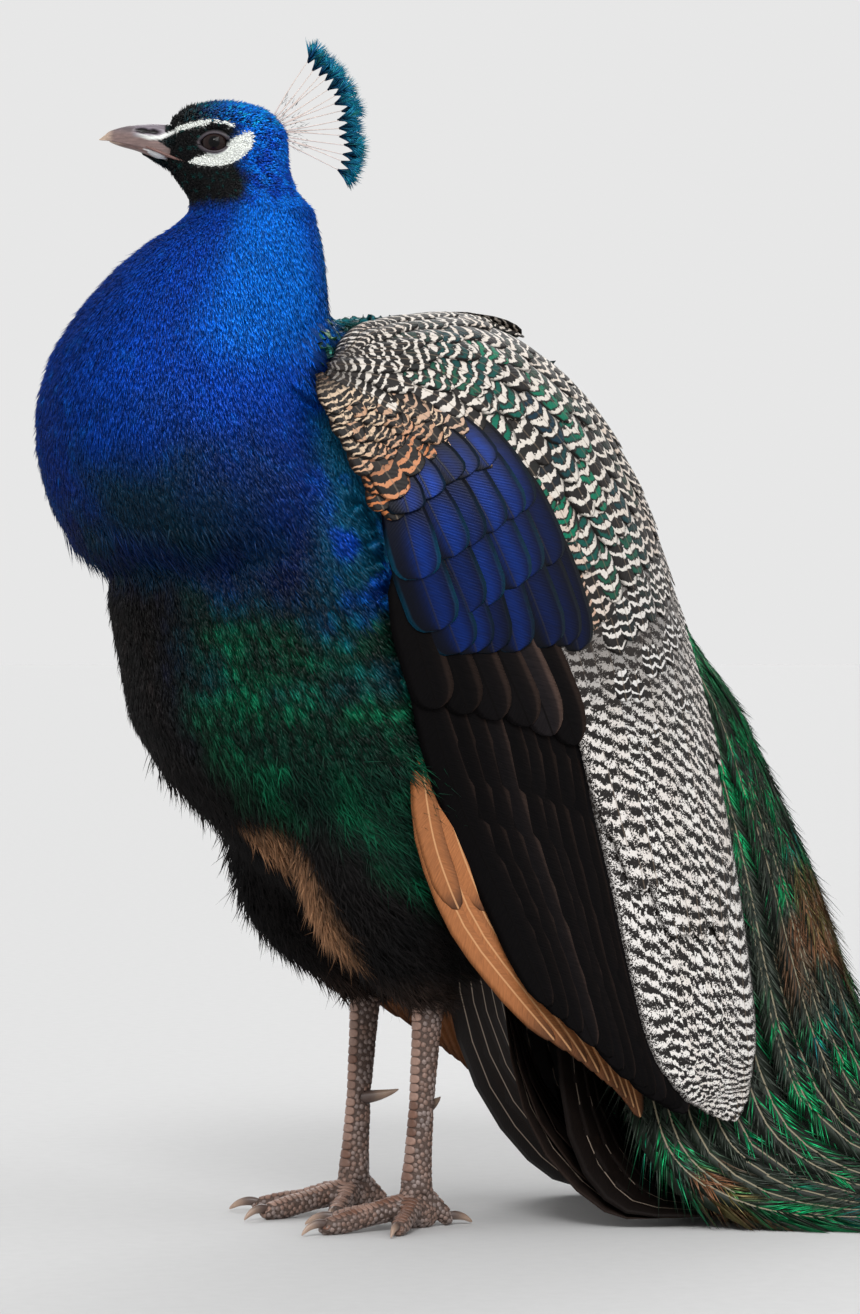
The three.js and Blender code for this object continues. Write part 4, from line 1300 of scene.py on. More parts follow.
swingFacts = {"turn": 17, "x": 70, "from": 350, "over": 300}
tailSections = [
    # middle x, middle z, half width, how far the edges hang ahead and below, thickness
    (66, 300, 34, 4, 4, 20), (76, 255, 54, 14, 6, 30), (86, 205, 68, 26, 8, 42), (95, 155, 78, 36, 10, 50),
    (104, 105, 85, 40, 12, 46), (117, 60, 88, 42, 12, 36), (138, 28, 90, 46, 8, 24), (166, 12, 93, 50, 3, 14),
    (228, 8, 100, 48, 0, 9), (310, 7, 100, 30, 0, 8), (365, 6, 72, -6, 0, 6),
]
trainSections = [
    # underside x and z, top x and z, half width, how far the edges hang ahead
    (64, 428, 106, 468, 36, 0), (80, 382, 140, 404, 60, 6), (88, 328, 172, 350, 72, 14),
    (94, 282, 202, 310, 76, 22), (100, 228, 226, 258, 80, 30), (106, 172, 246, 210, 80, 36),
    (114, 118, 262, 162, 82, 42), (126, 64, 280, 112, 88, 46), (146, 22, 304, 72, 104, 44),
    (190, 0, 350, 46, 122, 30), (300, 0, 420, 36, 140, 12), (480, 0, 510, 31, 166, 0),
    (650, 0, 660, 29, 192, 0), (840, 0, 840, 26, 218, 0), (1010, 0, 1010, 24, 236, 0),
    (1130, 0, 1130, 20, 232, 0), (1220, 0, 1220, 15, 200, 0), (1310, 0, 1310, 8, 205, 0),
]


def swung(points):
    # what hangs below the rump turns to the bird's left, more the lower it is
    share = np.clip((swingFacts["from"] - points[..., 2]) / swingFacts["over"], 0, 1)
    turn = np.radians(swingFacts["turn"]) * share
    back, side = points[..., 0] - swingFacts["x"], points[..., 1]
    x = swingFacts["x"] + back * np.cos(turn) + side * np.sin(turn)
    y = side * np.cos(turn) - back * np.sin(turn)
    return np.stack([x, y, points[..., 2]], axis=-1)


def trainTop(place, share):
    lowX, lowZ, topX, topZ, half, ahead = np.moveaxis(through(trainSections, place), -1, 0)
    dome = 0.12 + 0.88 * (1 - np.abs(share) ** 2.2)
    x = lowX + (topX - lowX) * dome - ahead * share * share
    return swung(np.stack([x, half * share, lowZ + (topZ - lowZ) * dome], axis=-1))


def trainSurface(place, share):
    share = np.clip(share, -1.02, 1.02)
    away = np.array([0.5, 0.0, 0.8])
    return trainTop(place, share), facing(trainTop, place, np.clip(share, -0.95, 0.95), away)


def tailSheet(front):
    away = np.array([-1.0, -0.2, -0.3]) if front else np.array([1.0, 0.0, 0.6])

    def sheet(place, share):
        x, z, half, ahead, below, thick = np.moveaxis(through(tailSections, place), -1, 0)
        depth = thick * (0.45 + 0.55 * np.sqrt(np.clip(1 - share * share, 0, 1))) if front else 0
        lean = smooth(4.5, 7.5, place)
        x = x - ahead * share * share - depth * (1 - lean)
        z = z - below * share * share - depth * lean + 3 * lean
        return swung(np.stack([x, half * share, z], axis=-1))

    return lambda place, share: (sheet(place, share), facing(sheet, place, share, away))


def aboveFloor(points, least=0.5):
    points[..., 2] = np.maximum(points[..., 2], least)


tail = {"count": 11, "spread": 0.92, "half": 19.0, "base": colour(30, 22, 19), "edge": colour(56, 42, 35)}


def makeTail():
    template = vaneTemplate(18, 6)
    for label, front, (root, tip) in (("front", True, (-1.0, -2.6)), ("rear", False, (-1.5, -3.0))):
        share = np.linspace(-tail["spread"], tail["spread"], tail["count"])
        tips = pairs(10.0 - 1.4 * share * share - (0.6 if front else 0), share * 0.98)
        lifts = pairs(root, tip + 1.2 * (np.abs(share) if front else 1 - np.abs(share)))
        paths, outs, lengths = laidPaths(tailSheet(front), template, pairs(0.4, share * 0.7), tips, lifts)
        shaped = vaneShape(template, paths, outs, tail["half"], longTip, 0.06, 0.8)
        aboveFloor(shaped[0])
        tone = blend(tail["base"], tail["edge"], smooth(0.2, 1, -template["u"]) * 0.7)
        paints = {"tint": withGloss(tone * (0.75 + 0.4 * random.random(len(share)))[:, None, None], 0)}
        addVanes("tail_feathers_" + label, template, shaped, lengths, paints, tailVaneLook,
                 ("tail",) if front else ())


trainKinds = {
    # feathers, root and tip sections, vane half width, lifts, barb length, gap between barbs, node replaced
    "rump": {"count": 56, "roots": (0.0, 1.6), "tips": (1.6, 4.2), "half": 9, "lift": (-2.5, -0.3),
             "barb": 17, "gap": 2.0},
    "upper": {"count": 64, "roots": (0.3, 2.8), "tips": (4.6, 9.0), "half": 8, "lift": (-3.5, -0.8),
              "barb": 27, "gap": 2.3, "node": "train_upper"},
    "middle": {"count": 46, "roots": (1.0, 3.4), "tips": (9.2, 13.4), "half": 8, "lift": (-4.5, -2.0),
               "barb": 31, "gap": 3.0, "node": "train_middle"},
    "long": {"count": 48, "roots": (1.5, 4.0), "tips": (13.4, 16.9), "half": 10, "lift": (-6.0, -3.5),
             "barb": 42, "gap": 3.4, "node": "train_end"},
}
barbs = {"angle": (27.0, 9), "width": 1.25, "rise": 0.03, "thick": 0.35, "loose": 0.03}


def makeTrain():
    template = vaneTemplate(22, 2)
    spots = []
    for name, facts in trainKinds.items():
        count = facts["count"]
        share = jitter(np.sin((np.linspace(0, 1, count) * 2 - 1) * 1.45) / math.sin(1.45), 0.03) * 0.96
        depth = (random.permutation(count) + 0.5) / count
        ends = (facts["roots"], facts["tips"])
        places, reach = (first + (last - first) * depth for first, last in ends)
        tips = pairs(reach - (0.9 * share * share if name == "long" else 0), share)
        lifts = pairs(facts["lift"][0], facts["lift"][1] - 1.2 * depth)
        paths, outs, lengths = laidPaths(trainSurface, template, pairs(places, share * 0.94), tips, lifts)
        aboveFloor(paths, 1.2)
        shaped = vaneShape(template, paths, outs, facts["half"], narrowTip, 0.05, 0.6)
        aboveFloor(shaped[0])
        paints = {"tint": withGloss(blend(colour(22, 26, 22), colour(34, 44, 34), random.random(count)), 0.1)}
        replaced = (facts["node"],) if "node" in facts else ()
        addVanes("train_" + name + "_vanes", template, shaped, lengths, paints, trainVaneLook,
                 replaced)
        addBarbs(name, facts, paths, outs, lengths)
        if name != "rump":
            spots += zip(paths, outs)
    makeOcelli(spots)


def measured(path):
    # how far along it each of a line's points is, and its whole length
    spans = np.linalg.norm(np.diff(path, axis=0), axis=1)
    return np.concatenate([[0], np.cumsum(spans)]), spans.sum()


def placesAlong(path, at, share):
    return np.stack([np.interp(share, at, path[:, axis]) for axis in range(3)], axis=1)


def addBarbs(name, facts, paths, outs, lengths):
    # loose barbs along each shaft, on both sides, pointing forwards along it
    found = []
    for path, out, length in zip(paths, outs, lengths):
        number = int(length / facts["gap"])
        at, total = measured(path)
        at = at / total
        share = (np.arange(number) + random.random(number) * 0.6) / number
        point, normal = placesAlong(path, at, share), unit(placesAlong(out, at, share))
        ahead, back = np.minimum(share + 0.02, 1), np.maximum(share - 0.02, 0)
        along = unit(placesAlong(path, at, ahead) - placesAlong(path, at, back))
        across = unit(np.cross(along, normal))
        grow = np.interp(share, [0, 0.12, 0.9, 1], [0.55, 1, 0.9, 0.5])
        for side in (-1, 1):
            angle = np.radians(jitter(np.full(number, barbs["angle"][0]), barbs["angle"][1]))[:, None]
            way = along * np.cos(angle) + across * side * np.sin(angle) - normal * 0.03
            way = unit(way + random.normal(size=point.shape) * barbs["loose"])
            found.append((point, normal, way, facts["barb"] * grow * (0.75 + 0.5 * random.random(number))))
            # a draw that nothing takes, so that the later ones stay as they are
            random.random()
    roots, normals, ways, sizes = (np.concatenate(part) for part in zip(*found))
    blades = tufts(roots, normals, ways, sizes, barbs["width"], barbs["rise"], barbs["thick"])
    aboveFloor(blades)
    bronze = smooth(0.66, 0.8, cloud(roots, 60, 4)) * smooth(320, 200, roots[:, 2])
    # painted glints: random patches of emerald on the grey barbs; high on the train the barbs are green all
    # over, which is their own colour
    glintsAndGreen = smooth(0.44, 0.62, cloud(roots, 9, 7)) * smooth(0.3, 0.62, cloud(roots, 38, 8))
    glintsAndGreen = np.maximum(glintsAndGreen, smooth(300, 360, roots[:, 2]) * 0.9)
    grey = blend(colour(58, 66, 56), colour(30, 38, 32), random.random(len(roots)))
    green = blend(colour(6, 138, 82), colour(0, 104, 110), smooth(0.6, 0.9, cloud(roots, 22, 3)))
    tone = blend(blend(grey, green, glintsAndGreen), colour(132, 84, 52), bronze * 0.7)
    tints = np.repeat((tone * (0.6 + 0.8 * random.random(len(roots)))[:, None])[:, None], 4, axis=1)
    tints[:, 3] = tints[:, 3] * 0.55 + grey * 0.4
    tints = withGloss(tints, (0.2 + 0.4 * glintsAndGreen)[:, None])
    x, y, z = roots.T
    places = np.stack([x / 1500 + 0.1, y / 1500 + 0.5 + z / 4000], axis=-1)
    addTufts("train_" + name + "_barbs_1", blades, tints, fineTrainLook, "train_plumage", places)


ocellus = {
    "from": 400, "half": 18.5, "length": 50, "end": 52, "lift": 2.2,
    "stops": [
        (0.0, (8, 10, 58)), (0.26, (10, 14, 78)), (0.32, (0, 84, 150)), (0.46, (0, 132, 138)),
        (0.52, (118, 70, 28)), (0.72, (132, 84, 30)), (0.77, (104, 122, 26)), (0.86, (14, 84, 36)),
        (1.0, (40, 66, 28)),
    ],
}


def ocellusFinish():
    # rings of bronze, green and blue round a dark notch, worked out from the place on the vane
    look = Finish("eye spot", Roughness=0.55, Specular_IOR_Level=0.1, Metallic=0.3)
    place = look.node("ShaderNodeSeparateColor", {}, {"Color": look.attribute("place")}, "Green")
    off, rise = place.beside("Blue"), (place - 0.55) * 1.9
    reach = off.sum("SQRT", off * off * 0.9 + rise * rise)
    stops = [(at, rgba(colour(*tone))) for at, tone in ocellus["stops"]]
    look.feed("Base Color", look.node("ShaderNodeValToRGB", {"stops": stops}, {"Fac": reach}, "Color"))
    look.bump(look.noise(500.0), 0.0003, 0.5)
    return look.material


def makeOcelli(spots):
    # one eye spot over the end of each feather that reaches far enough back
    template = vaneTemplate(8, 8)
    paths, outs = [], []
    for path, out in spots:
        if path[-1, 0] < ocellus["from"]:
            continue
        at = measured(path)[0]
        share = at[-1] - ocellus["end"] + template["shares"] * ocellus["length"]
        paths.append(placesAlong(path, at, share) + out[-1] * ocellus["lift"])
        outs.append(np.repeat(out[-1][None], len(share), 0))
    shaped = vaneShape(template, np.array(paths), np.array(outs), ocellus["half"], ovalTip, 0.06, 0.5)
    aboveFloor(shaped[0])
    paints = {"tint": withGloss(np.zeros((len(paths), 3)), 1.0)}
    lengths = np.full(len(paths), 42.0)
    addVanes("train_eye_spots", template, shaped, lengths, paints, ocellusFinish())


fineTrainLook = plumageFinish("loose train barbs", 300.0, 0.42)
makeTail()
makeTrain()
print("tail and train made")


def ringMatrix(centre, first, second):
    # the circle's own axes as two half widths, in the frame
    columns = [first / 1000, second / 1000, unit(np.cross(first, second)) / 1000, toFrame(centre)]
    matrix = np.eye(4)
    matrix[:3, :] = np.array(columns).T
    return Matrix(matrix.tolist())


def loft(shape, rings, segments):
    # circles, each squeezed and placed by its matrix, bridged into one closed body
    previous = None
    for index, matrix in enumerate(rings):
        circle = bmesh.ops.create_circle(shape, segments=segments, radius=1.0, cap_ends=False, matrix=matrix)
        edges = list({edge for vertex in circle["verts"] for edge in vertex.link_edges})
        if previous:
            bmesh.ops.bridge_loops(shape, edges=previous + edges)
        if index in (0, len(rings) - 1):
            bmesh.ops.contextual_create(shape, geom=edges)
        previous = edges


def addLofts(name, bodies, segments, paint, material, replaced=(), reshape=None):
    # one piece of closed bodies; paint gives each point its colour and its place
    shape = bmesh.new()
    for rings in bodies:
        loft(shape, rings, segments)
    bmesh.ops.recalc_face_normals(shape, faces=shape.faces)
    mesh = toMesh(name, shape)
    points = toBird(vertexPlaces(mesh))
    if reshape:
        points = reshape(points)
        mesh.vertices.foreach_set("co", toFrame(points).ravel())
    addObject(name, mesh, [material], paint(points), replaced)


def taper(points, widths, side, count):
    # rings along a smooth line, each a flat half width and a deep one
    at = np.linspace(0, len(points) - 1, count)
    line, halves = through(points, at), np.maximum(through(widths, at), 0.12)
    rings = []
    for centre, run, half in zip(line, unit(np.gradient(line, axis=0)), halves):
        across = unit(side - run * side.dot(run))
        rings.append(ringMatrix(centre, across * half[0], np.cross(run, across) * half[1]))
    return rings


def hornFinish(name, roughness, streaks, contrast):
    # horn or skin with streaks along it, from the piece's own place
    look = Finish(name, Roughness=roughness)
    place = look.attribute("place", "Vector")
    spot = look.node("ShaderNodeVectorMath", {"operation": "MULTIPLY"}, {0: place, 1: streaks}, "Vector")
    grain, fine = look.noise(1.0, 4.0, spot), look.noise(1400.0)
    shade = (grain - 0.5) * contrast + (fine - 0.5) * 0.25 + 1.0
    look.feed("Base Color", look.attribute("tint").scaled(shade))
    look.bump(grain * 0.7 + fine * 0.3, 0.00025, 0.6)
    return look.material


def placeInHead(points):
    ahead, out, height = toHead(points)
    return np.stack([ahead / 100, out / 100, (height - 600) / 100], axis=1)


def plainPaint(tone):
    return lambda points: {"tint": np.tile(tone, (len(points), 1)), "place": placeInHead(points)}


def castHead(tree, ahead, height, side):
    # where a level ray from the side meets the head, and the way out of it there
    return tree.ray_cast(Vector(headPoint(ahead, side * 40, height)), Vector(-headLeft * side), 60)[:2]


# Bill, as ahead, top, bottom and half width.
billUpper = [
    (92, 641.6, 641.1, 0.25), (90.6, 642.6, 640.9, 0.7), (88.6, 644.1, 640.8, 1.3), (85.4, 646.5, 640.4, 2.4),
    (77.2, 649, 638.5, 4.6), (69.6, 650, 636.5, 6.2), (62, 650.6, 634.2, 7.2), (56, 650.6, 631.8, 7.1),
    (50, 649.6, 630.6, 6.0), (42, 646, 631, 4.5),
]
billLower = [
    (85.8, 640.9, 640, 0.6), (84.4, 641.2, 639.3, 1.5), (79.6, 641.3, 637.4, 3.1), (69.6, 640, 634.6, 5),
    (62, 638, 631.4, 6.2), (55.3, 636, 629.2, 6.4), (48, 634, 629, 5), (42, 632, 628, 3.6),
]
billPatch = [(65, 635.2), (60, 635.4), (55.5, 633.0), (52, 629.6), (54, 628.0), (60, 631.0)]
gape = {"line": [(64, 636.6), (58, 634.2), (52, 631.6), (46, 629.2), (41, 627.4)], "onBill": 56,
        "halves": [(0.3, 0.3), (0.8, 0.9), (0.9, 1.1), (0.8, 0.9), (0.2, 0.25)]}
nostril = {"ahead": 63.2, "height": 645.8, "reach": 7.4, "rise": 1.7, "tilt": 0.1, "depth": 2.6}
billTones = {
    "ridge": colour(96, 84, 88), "side": colour(126, 104, 100), "tip": colour(196, 172, 152),
    "cere": colour(122, 112, 122), "slit": colour(16, 9, 9), "lower": colour(118, 92, 86),
    "patch": colour(214, 214, 214), "gape": colour(112, 78, 70),
}


def billRings(stations, count):
    facts = through(stations, np.linspace(0, len(stations) - 1, count))
    return [ringMatrix(headPoint(ahead, 0, (top + bottom) / 2), headLeft * half, up * (top - bottom) / 2)
            for ahead, top, bottom, half in facts]


def slitDistance(ahead, height):
    middle = nostril["height"] + nostril["tilt"] * (ahead - nostril["ahead"])
    rise = nostril["rise"] * (0.66 + 0.42 * smooth(0.4, 3.4, np.abs(ahead - nostril["ahead"] + 0.8)))
    return np.hypot((ahead - nostril["ahead"]) / nostril["reach"], (height - middle) / rise)


def reshapeUpper(points):
    # a sharp lower edge, the swollen skin over the nostril and the nostril's slit
    ahead, out, height = toHead(points)
    order = np.array(sorted(billUpper), float)
    top, bottom = (np.interp(ahead, order[:, 0], order[:, column]) for column in (1, 2))
    level = np.clip((height - (top + bottom) / 2) / ((top - bottom) / 2), -0.98, 0.98)
    edge = np.where(level < 0, (1 - 0.1 * level * level) / np.sqrt(1 - level * level), 1)
    wide = out * np.clip(edge, 1, 2.3)
    cover = smooth(1.3, 0.2, np.hypot((ahead - 62) / 10, (height - 647.4) / 2.6)) * 0.9
    slit = smooth(1.25, 0.6, slitDistance(ahead, height)) * nostril["depth"]
    move = np.sign(wide) * smooth(1.5, 3.5, np.abs(wide)) * (cover - slit)
    return points + headLeft * (wide + move - out)[:, None]


def onLore(ahead, height):
    # where small black feathers run onto the bill, before the eye and on the forehead
    above = height - np.interp(ahead, [46.6, 55.5, 62], [646.4, 641.8, 641.8])
    low = smooth(-0.5, 0.7, 56.5 + (height - 639.8) * 1.43 - ahead) * smooth(-0.9, -2.0, above)
    return np.maximum(low, smooth(53.6, 52.4, ahead) * smooth(1.6, 2.8, above))


def paintUpper(points):
    ahead, out, height = toHead(points)
    tone = blend(billTones["side"], billTones["ridge"], smooth(642, 648, height + 0.1 * (70 - ahead)))
    tone = blend(tone, billTones["tip"], smooth(82, 90, ahead))
    tone = blend(tone, billTones["cere"], smooth(74, 68, ahead) * smooth(641.5, 643.5, height))
    white = smooth(1.7, 0.6, lineDistance(ahead, height, [(72, 643.6)] + browStripe)) * smooth(73, 60, ahead)
    tone = blend(tone, tones["white"], white * smooth(2.5, 4.0, np.abs(out)))
    tone = blend(tone, tones["black"] * 0.6, onLore(ahead, height))
    slit = smooth(1.2, 0.75, slitDistance(ahead, height)) * smooth(1.5, 2.5, np.abs(out))
    return {"tint": blend(tone, billTones["slit"], slit), "place": placeInHead(points)}


def paintLower(points):
    ahead, _, height = toHead(points)
    tone = blend(billTones["lower"], billTones["tip"], smooth(76, 88, ahead))
    tone = blend(tone, billTones["patch"], insideShape(ahead, height, billPatch) * 1.0)
    return {"tint": tone, "place": placeInHead(points)}


def makeBill():
    look = hornFinish("bill horn", 0.42, (7.0, 75.0, 75.0), 1.3)
    rings = billRings(billUpper, 84)
    addLofts("bill_upper_horn", [rings], 64, paintUpper, look, ("bill_upper",), reshapeUpper)
    addLofts("bill_lower_horn", [billRings(billLower, 40)], 32, paintLower, look, ("bill_lower",))
    # the soft corner of the mouth runs back along the cheek on both sides
    bodies = []
    for side in (-1, 1):
        line = []
        for ahead, height in gape["line"]:
            found = castHead(skinTree, ahead, height, side)[0]
            onCheek = found and ahead < gape["onBill"]
            reach = toHead(np.array(found))[1] if onCheek else side * np.interp(ahead, [52, 64], [8.3, 6.9])
            line.append(headPoint(ahead, reach, height))
        bodies.append(taper(line, gape["halves"], up, 18))
    addLofts("mouth_corners", bodies, 12, plainPaint(billTones["gape"]), look)


bristles = {"lore": 900, "chin": 900, "length": 2.4, "width": 0.75, "chinLength": 5.4}


def makeBristles():
    # small black feathers on the base of the bill and under the chin
    bill = treeOf(*meshArrays(bpy.data.objects["bill_upper_horn"].data)[:2])
    hits = []
    for side in (-1, 1):
        ahead, height = 42 + 17 * random.random(bristles["lore"]), 630 + 21 * random.random(bristles["lore"])
        black = onLore(ahead, height) > 0.5
        hits += [castHead(bill, *spot, side) for spot in zip(ahead[black], height[black])]
    roots, normals = (np.array(part) for part in zip(*[hit for hit in hits if hit[0]]))
    along = random.random(bristles["chin"])
    spread = (random.random(bristles["chin"]) - 0.5) * (1.6 + 7.0 * along)
    ahead = 67 - 18 * along
    height = np.interp(ahead, [49, 55.3, 62, 67.5], [627.0, 629.3, 631.5, 634.0]) + 0.12 * np.abs(spread)
    onChin = np.repeat([False, True], [len(roots), len(along)])
    share = np.concatenate([np.full(len(roots), 1.0), 0.3 + 0.7 * smooth(0, 0.7, along)])
    roots = np.concatenate([roots, headPoint(ahead, spread, height)])
    normals = np.concatenate([normals, unit(-up + headLeft * spread[:, None] * 0.12)])
    way = -headForward - up * np.where(onChin, 0.95, 0.3)[:, None]
    way = unit(way + 0.22 * random.normal(size=roots.shape))
    way = flattened(way, normals, np.where(onChin, 0.0, 0.8)[:, None])
    length = np.where(onChin, bristles["chinLength"], bristles["length"])
    length = length * (0.7 + 0.6 * random.random(len(roots))) * share
    blades = tufts(roots, normals, way, length, bristles["width"], np.where(onChin, 0.24, 0.16), 0.3)
    dark = blend(tones["black"], tones["patch"], 0.6 * random.random(len(roots)) ** 2)
    addTufts("bill_bristles", blades, withGloss(dark * 1.2, 0.25), fineLook, "neck_plumage")


eyeLooks = {
    "pupil": 0.42, "iris": colour(32, 19, 16), "deep": colour(14, 8, 8), "opening": (7.2, 5.0), "bulge": 0.09,
}


def eyeFinish():
    look = Finish("eye", Roughness=0.05, Specular_IOR_Level=0.16)
    place = look.attribute("place", "Vector")
    reach = look.node("ShaderNodeVectorMath", {"operation": "LENGTH"}, {0: place}, "Value")
    iris = look.noise(9.0, 3.0, place).mix(rgba(eyeLooks["deep"]), rgba(eyeLooks["iris"] * 1.7))
    tone = reach.steps(0.74, 0.9).mix(iris, rgba(colour(14, 9, 9)))
    pupil = reach.steps(eyeLooks["pupil"] - 0.02, eyeLooks["pupil"] + 0.02)
    look.feed("Base Color", pupil.mix(rgba(colour(2, 2, 3)), tone))
    return look.material


def makeEyes():
    look = eyeFinish()
    radius = eyes["radius"]
    for name, away in sides.items():
        shape = bmesh.new()
        bmesh.ops.create_uvsphere(shape, u_segments=48, v_segments=32, radius=1.0)
        mesh = toMesh("eyeball_" + name, shape)
        x, y, z = vertexPlaces(mesh).T
        front = (z > 0) * smooth(0.62, 0.1, np.hypot(x, y)) * eyeLooks["bulge"]
        out = -away * (eyes["out"] + (z + front) * radius)
        points = headPoint(eyes["ahead"] + x * radius, out, eyes["height"] + y * radius)
        mesh.vertices.foreach_set("co", toFrame(points).ravel())
        if away > 0:
            mesh.flip_normals()
        colours = {"place": np.stack([x, y, np.where(z > 0, 0, 1)], axis=1)}
        addObject("eyeball_" + name, mesh, [look], colours, ("eye_" + name,))


lids = {
    # each ring: how much larger than the opening, its share of the way from ball to skin, its lift
    "section": [(0.98, 0, -0.6), (1.0, 0, 0.3), (1.07, 0, 0.75), (1.15, 0.1, 0.85), (1.25, 0.35, 0.75),
                (1.42, 0.8, 0.35), (1.62, 1, -0.9), (1.3, 0.5, -3.0)],
    "turns": 60, "bare": colour(64, 56, 62), "inside": colour(20, 14, 14), "beads": 26, "bead": 0.12,
}


def makeLids():
    look = hornFinish("lid skin", 0.6, (170.0, 170.0, 170.0), 2.2)
    wide, tall = eyeLooks["opening"]
    size = len(lids["section"])
    for name, away in sides.items():
        side, rings = -away, []
        for turn in np.linspace(0, 2 * math.pi, lids["turns"], endpoint=False):
            corner = 1.0 * max(math.cos(turn), 0) ** 8 + 0.5 * max(-math.cos(turn), 0) ** 8
            flat = math.cos(turn) * wide + math.copysign(corner, math.cos(turn)), math.sin(turn) * tall
            flat = np.array(flat)
            ball = eyes["out"] + math.sqrt(max(eyes["radius"] ** 2 - flat.dot(flat), 0.5))
            far = flat * np.array([1.5, 1.75])
            skin = castHead(skinTree, eyes["ahead"] + far[0], eyes["height"] + far[1], side)[0]
            skin = abs(toHead(np.array(skin))[1])
            for grow, share, lift in lids["section"]:
                spot = flat * (1 + (grow - 1) * np.array([0.8, 1.15]))
                bead = lids["bead"] * math.sin(turn * lids["beads"]) * (1.03 < grow < 1.3)
                out = side * (ball + (skin - ball) * share + lift + bead)
                rings.append(headPoint(eyes["ahead"] + spot[0], out, eyes["height"] + spot[1]))
        points = np.array(rings)
        index = np.arange(lids["turns"])[:, None] * size + np.arange(size)
        following = np.roll(index, -1, axis=0)
        beside, corner = np.roll(index, -1, axis=1), np.roll(following, -1, axis=1)
        faces = np.stack([index, beside, corner, following], axis=-1).reshape(-1, 4)[:, ::-side]
        level = np.tile(np.arange(size), lids["turns"])[:, None]
        tone = np.where((level > 0) & (level < 5), lids["bare"], markings(points)[:, :3])
        paints = {"tint": np.where(level == 0, lids["inside"], tone), "place": placeInHead(points)}
        addPiece("lids_" + name, points, faces, look, paints, None, ())


crest = {
    "shafts": 15, "bare": 42, "tip": 14, "barb": 14.5, "fan": 90, "low": 7,
    "quill": colour(226, 210, 202), "halves": [(0.55, 0.55), (0.36, 0.36), (0.2, 0.2)],
}


def makeCrest():
    # bare quills that fan out from the nape, each with a small round fan at its end
    order = np.arange(crest["shafts"])
    bare = jitter(np.full(crest["shafts"], crest["bare"]), 2.2)
    share = order / (crest["shafts"] - 1)
    rise, lean = np.radians(-27 + 85 * share), np.radians(3.5 * np.sin(order * 2.4))
    roots = headPoint(-11 + 2 * share, 0 * share, 643 + 8 * share)
    level = (np.cos(rise) * np.cos(lean))[:, None]
    along = -headForward * level + up * np.sin(rise)[:, None] + headLeft * np.sin(lean)[:, None]
    out = unit(np.cross(along, up - along * along[:, 2:3]))
    out = out * np.where(out @ headLeft > 0, 1, -1)[:, None]
    flat = unit(np.cross(out, along))
    ends = roots + along * (bare + crest["tip"] - 1)[:, None]
    bodies, fans = [], []
    for index, (root, way, end) in enumerate(zip(roots, along, ends)):
        bow = flat[index] * 1.2 * math.sin(index * 1.9)
        line = [root - way * 3, root + way * 20 + bow, end - way * 2]
        bodies.append(taper(line, crest["halves"], out[index], 7))
    quill = hornFinish("crest quill", 0.5, (60.0, 60.0, 60.0), 0.3)
    addLofts("crest_quills", bodies, 5, plainPaint(crest["quill"]), quill, ("crest",))
    for root, axis, normal, across, reach in zip(roots, along, out, flat, bare):
        count = crest["fan"]
        spot = random.random(count) ** 0.8
        turn = np.radians((random.random(count) - 0.5) * (56 + 70 * spot))
        way = axis * np.cos(turn)[:, None] + across * np.sin(turn)[:, None]
        way = unit(way + normal * (random.normal(size=count) * 0.14)[:, None])
        place = root + axis * (reach - 1) + axis * (spot * 7.0)[:, None]
        place = place + normal * (random.normal(size=count) * 0.5)[:, None]
        length = (crest["barb"] - 5.5 * spot) * (0.75 + 0.4 * random.random(count))
        fans.append((place, np.tile(normal, (count, 1)), way, length, spot))
        # a few short barbs low on each quill
        count = crest["low"]
        spot = random.random(count) * 0.45
        way = unit(axis + across * np.where(random.random(count) > 0.5, 1, -1)[:, None] * 0.35)
        place = root + axis * (spot * 40 + 2)[:, None]
        fans.append((place, np.tile(normal, (count, 1)), way, np.full(count, 4.0), np.full(count, -1)))
    place, normal, way, length, spot = (np.concatenate(part) for part in zip(*fans))
    blades = tufts(place, normal, way, length, np.where(spot < 0, 0.3, 1.15), 0.02, 0.25)
    bright = blend(colour(0, 110, 172), colour(0, 168, 190), random.random(len(place)))
    bright = blend(bright, colour(10, 120, 96), smooth(0.75, 1, random.random(len(place))))
    dark = blend(colour(4, 14, 40), colour(6, 40, 70), random.random(len(place)))
    rim = np.array([0.0, 0.0, 0.35, 1.0]) * (0.5 + 0.5 * np.clip(spot, 0, 1))[:, None]
    tone = blend(dark[:, None], bright[:, None], np.clip(rim * 1.5, 0, 1))
    tone = withGloss(np.where((spot < 0)[:, None, None], colour(40, 46, 50), tone), 0.35)
    ahead, _, height = toHead(blades[:, 3])
    places = np.stack([(ahead + 90) / 100, (height - 600) / 130], axis=1)
    addTufts("crest_fans", blades, tone, fineLook, "crest_plumage", places)


legs = {"ankle": (-21, 45, 147), "foot": (-30, 45, 21), "scale": 1.5, "thrown": 26000}
toes = {
    # heading outwards, length, radius
    "left": {"inner": (-30, 52, 6.2), "middle": (13, 70, 7), "outer": (52, 50, 6), "hind": (184, 24, 5.6)},
    "right": {"inner": (-52, 50, 6.2), "middle": (-15, 70, 7), "outer": (30, 62, 6), "hind": (176, 24, 5.6)},
}
scaleTones = {"front": colour(148, 118, 104), "side": colour(132, 116, 110), "rim": colour(92, 76, 70),
              "stain": colour(112, 78, 62)}


def legLine(side):
    # ankle and foot of one leg
    return (np.array(legs[key], float) * np.array([1, side, 1]) for key in ("ankle", "foot"))


def toeWay(side, heading):
    angle = math.radians(heading)
    return np.array([-math.cos(angle), side * math.sin(angle), 0.0])


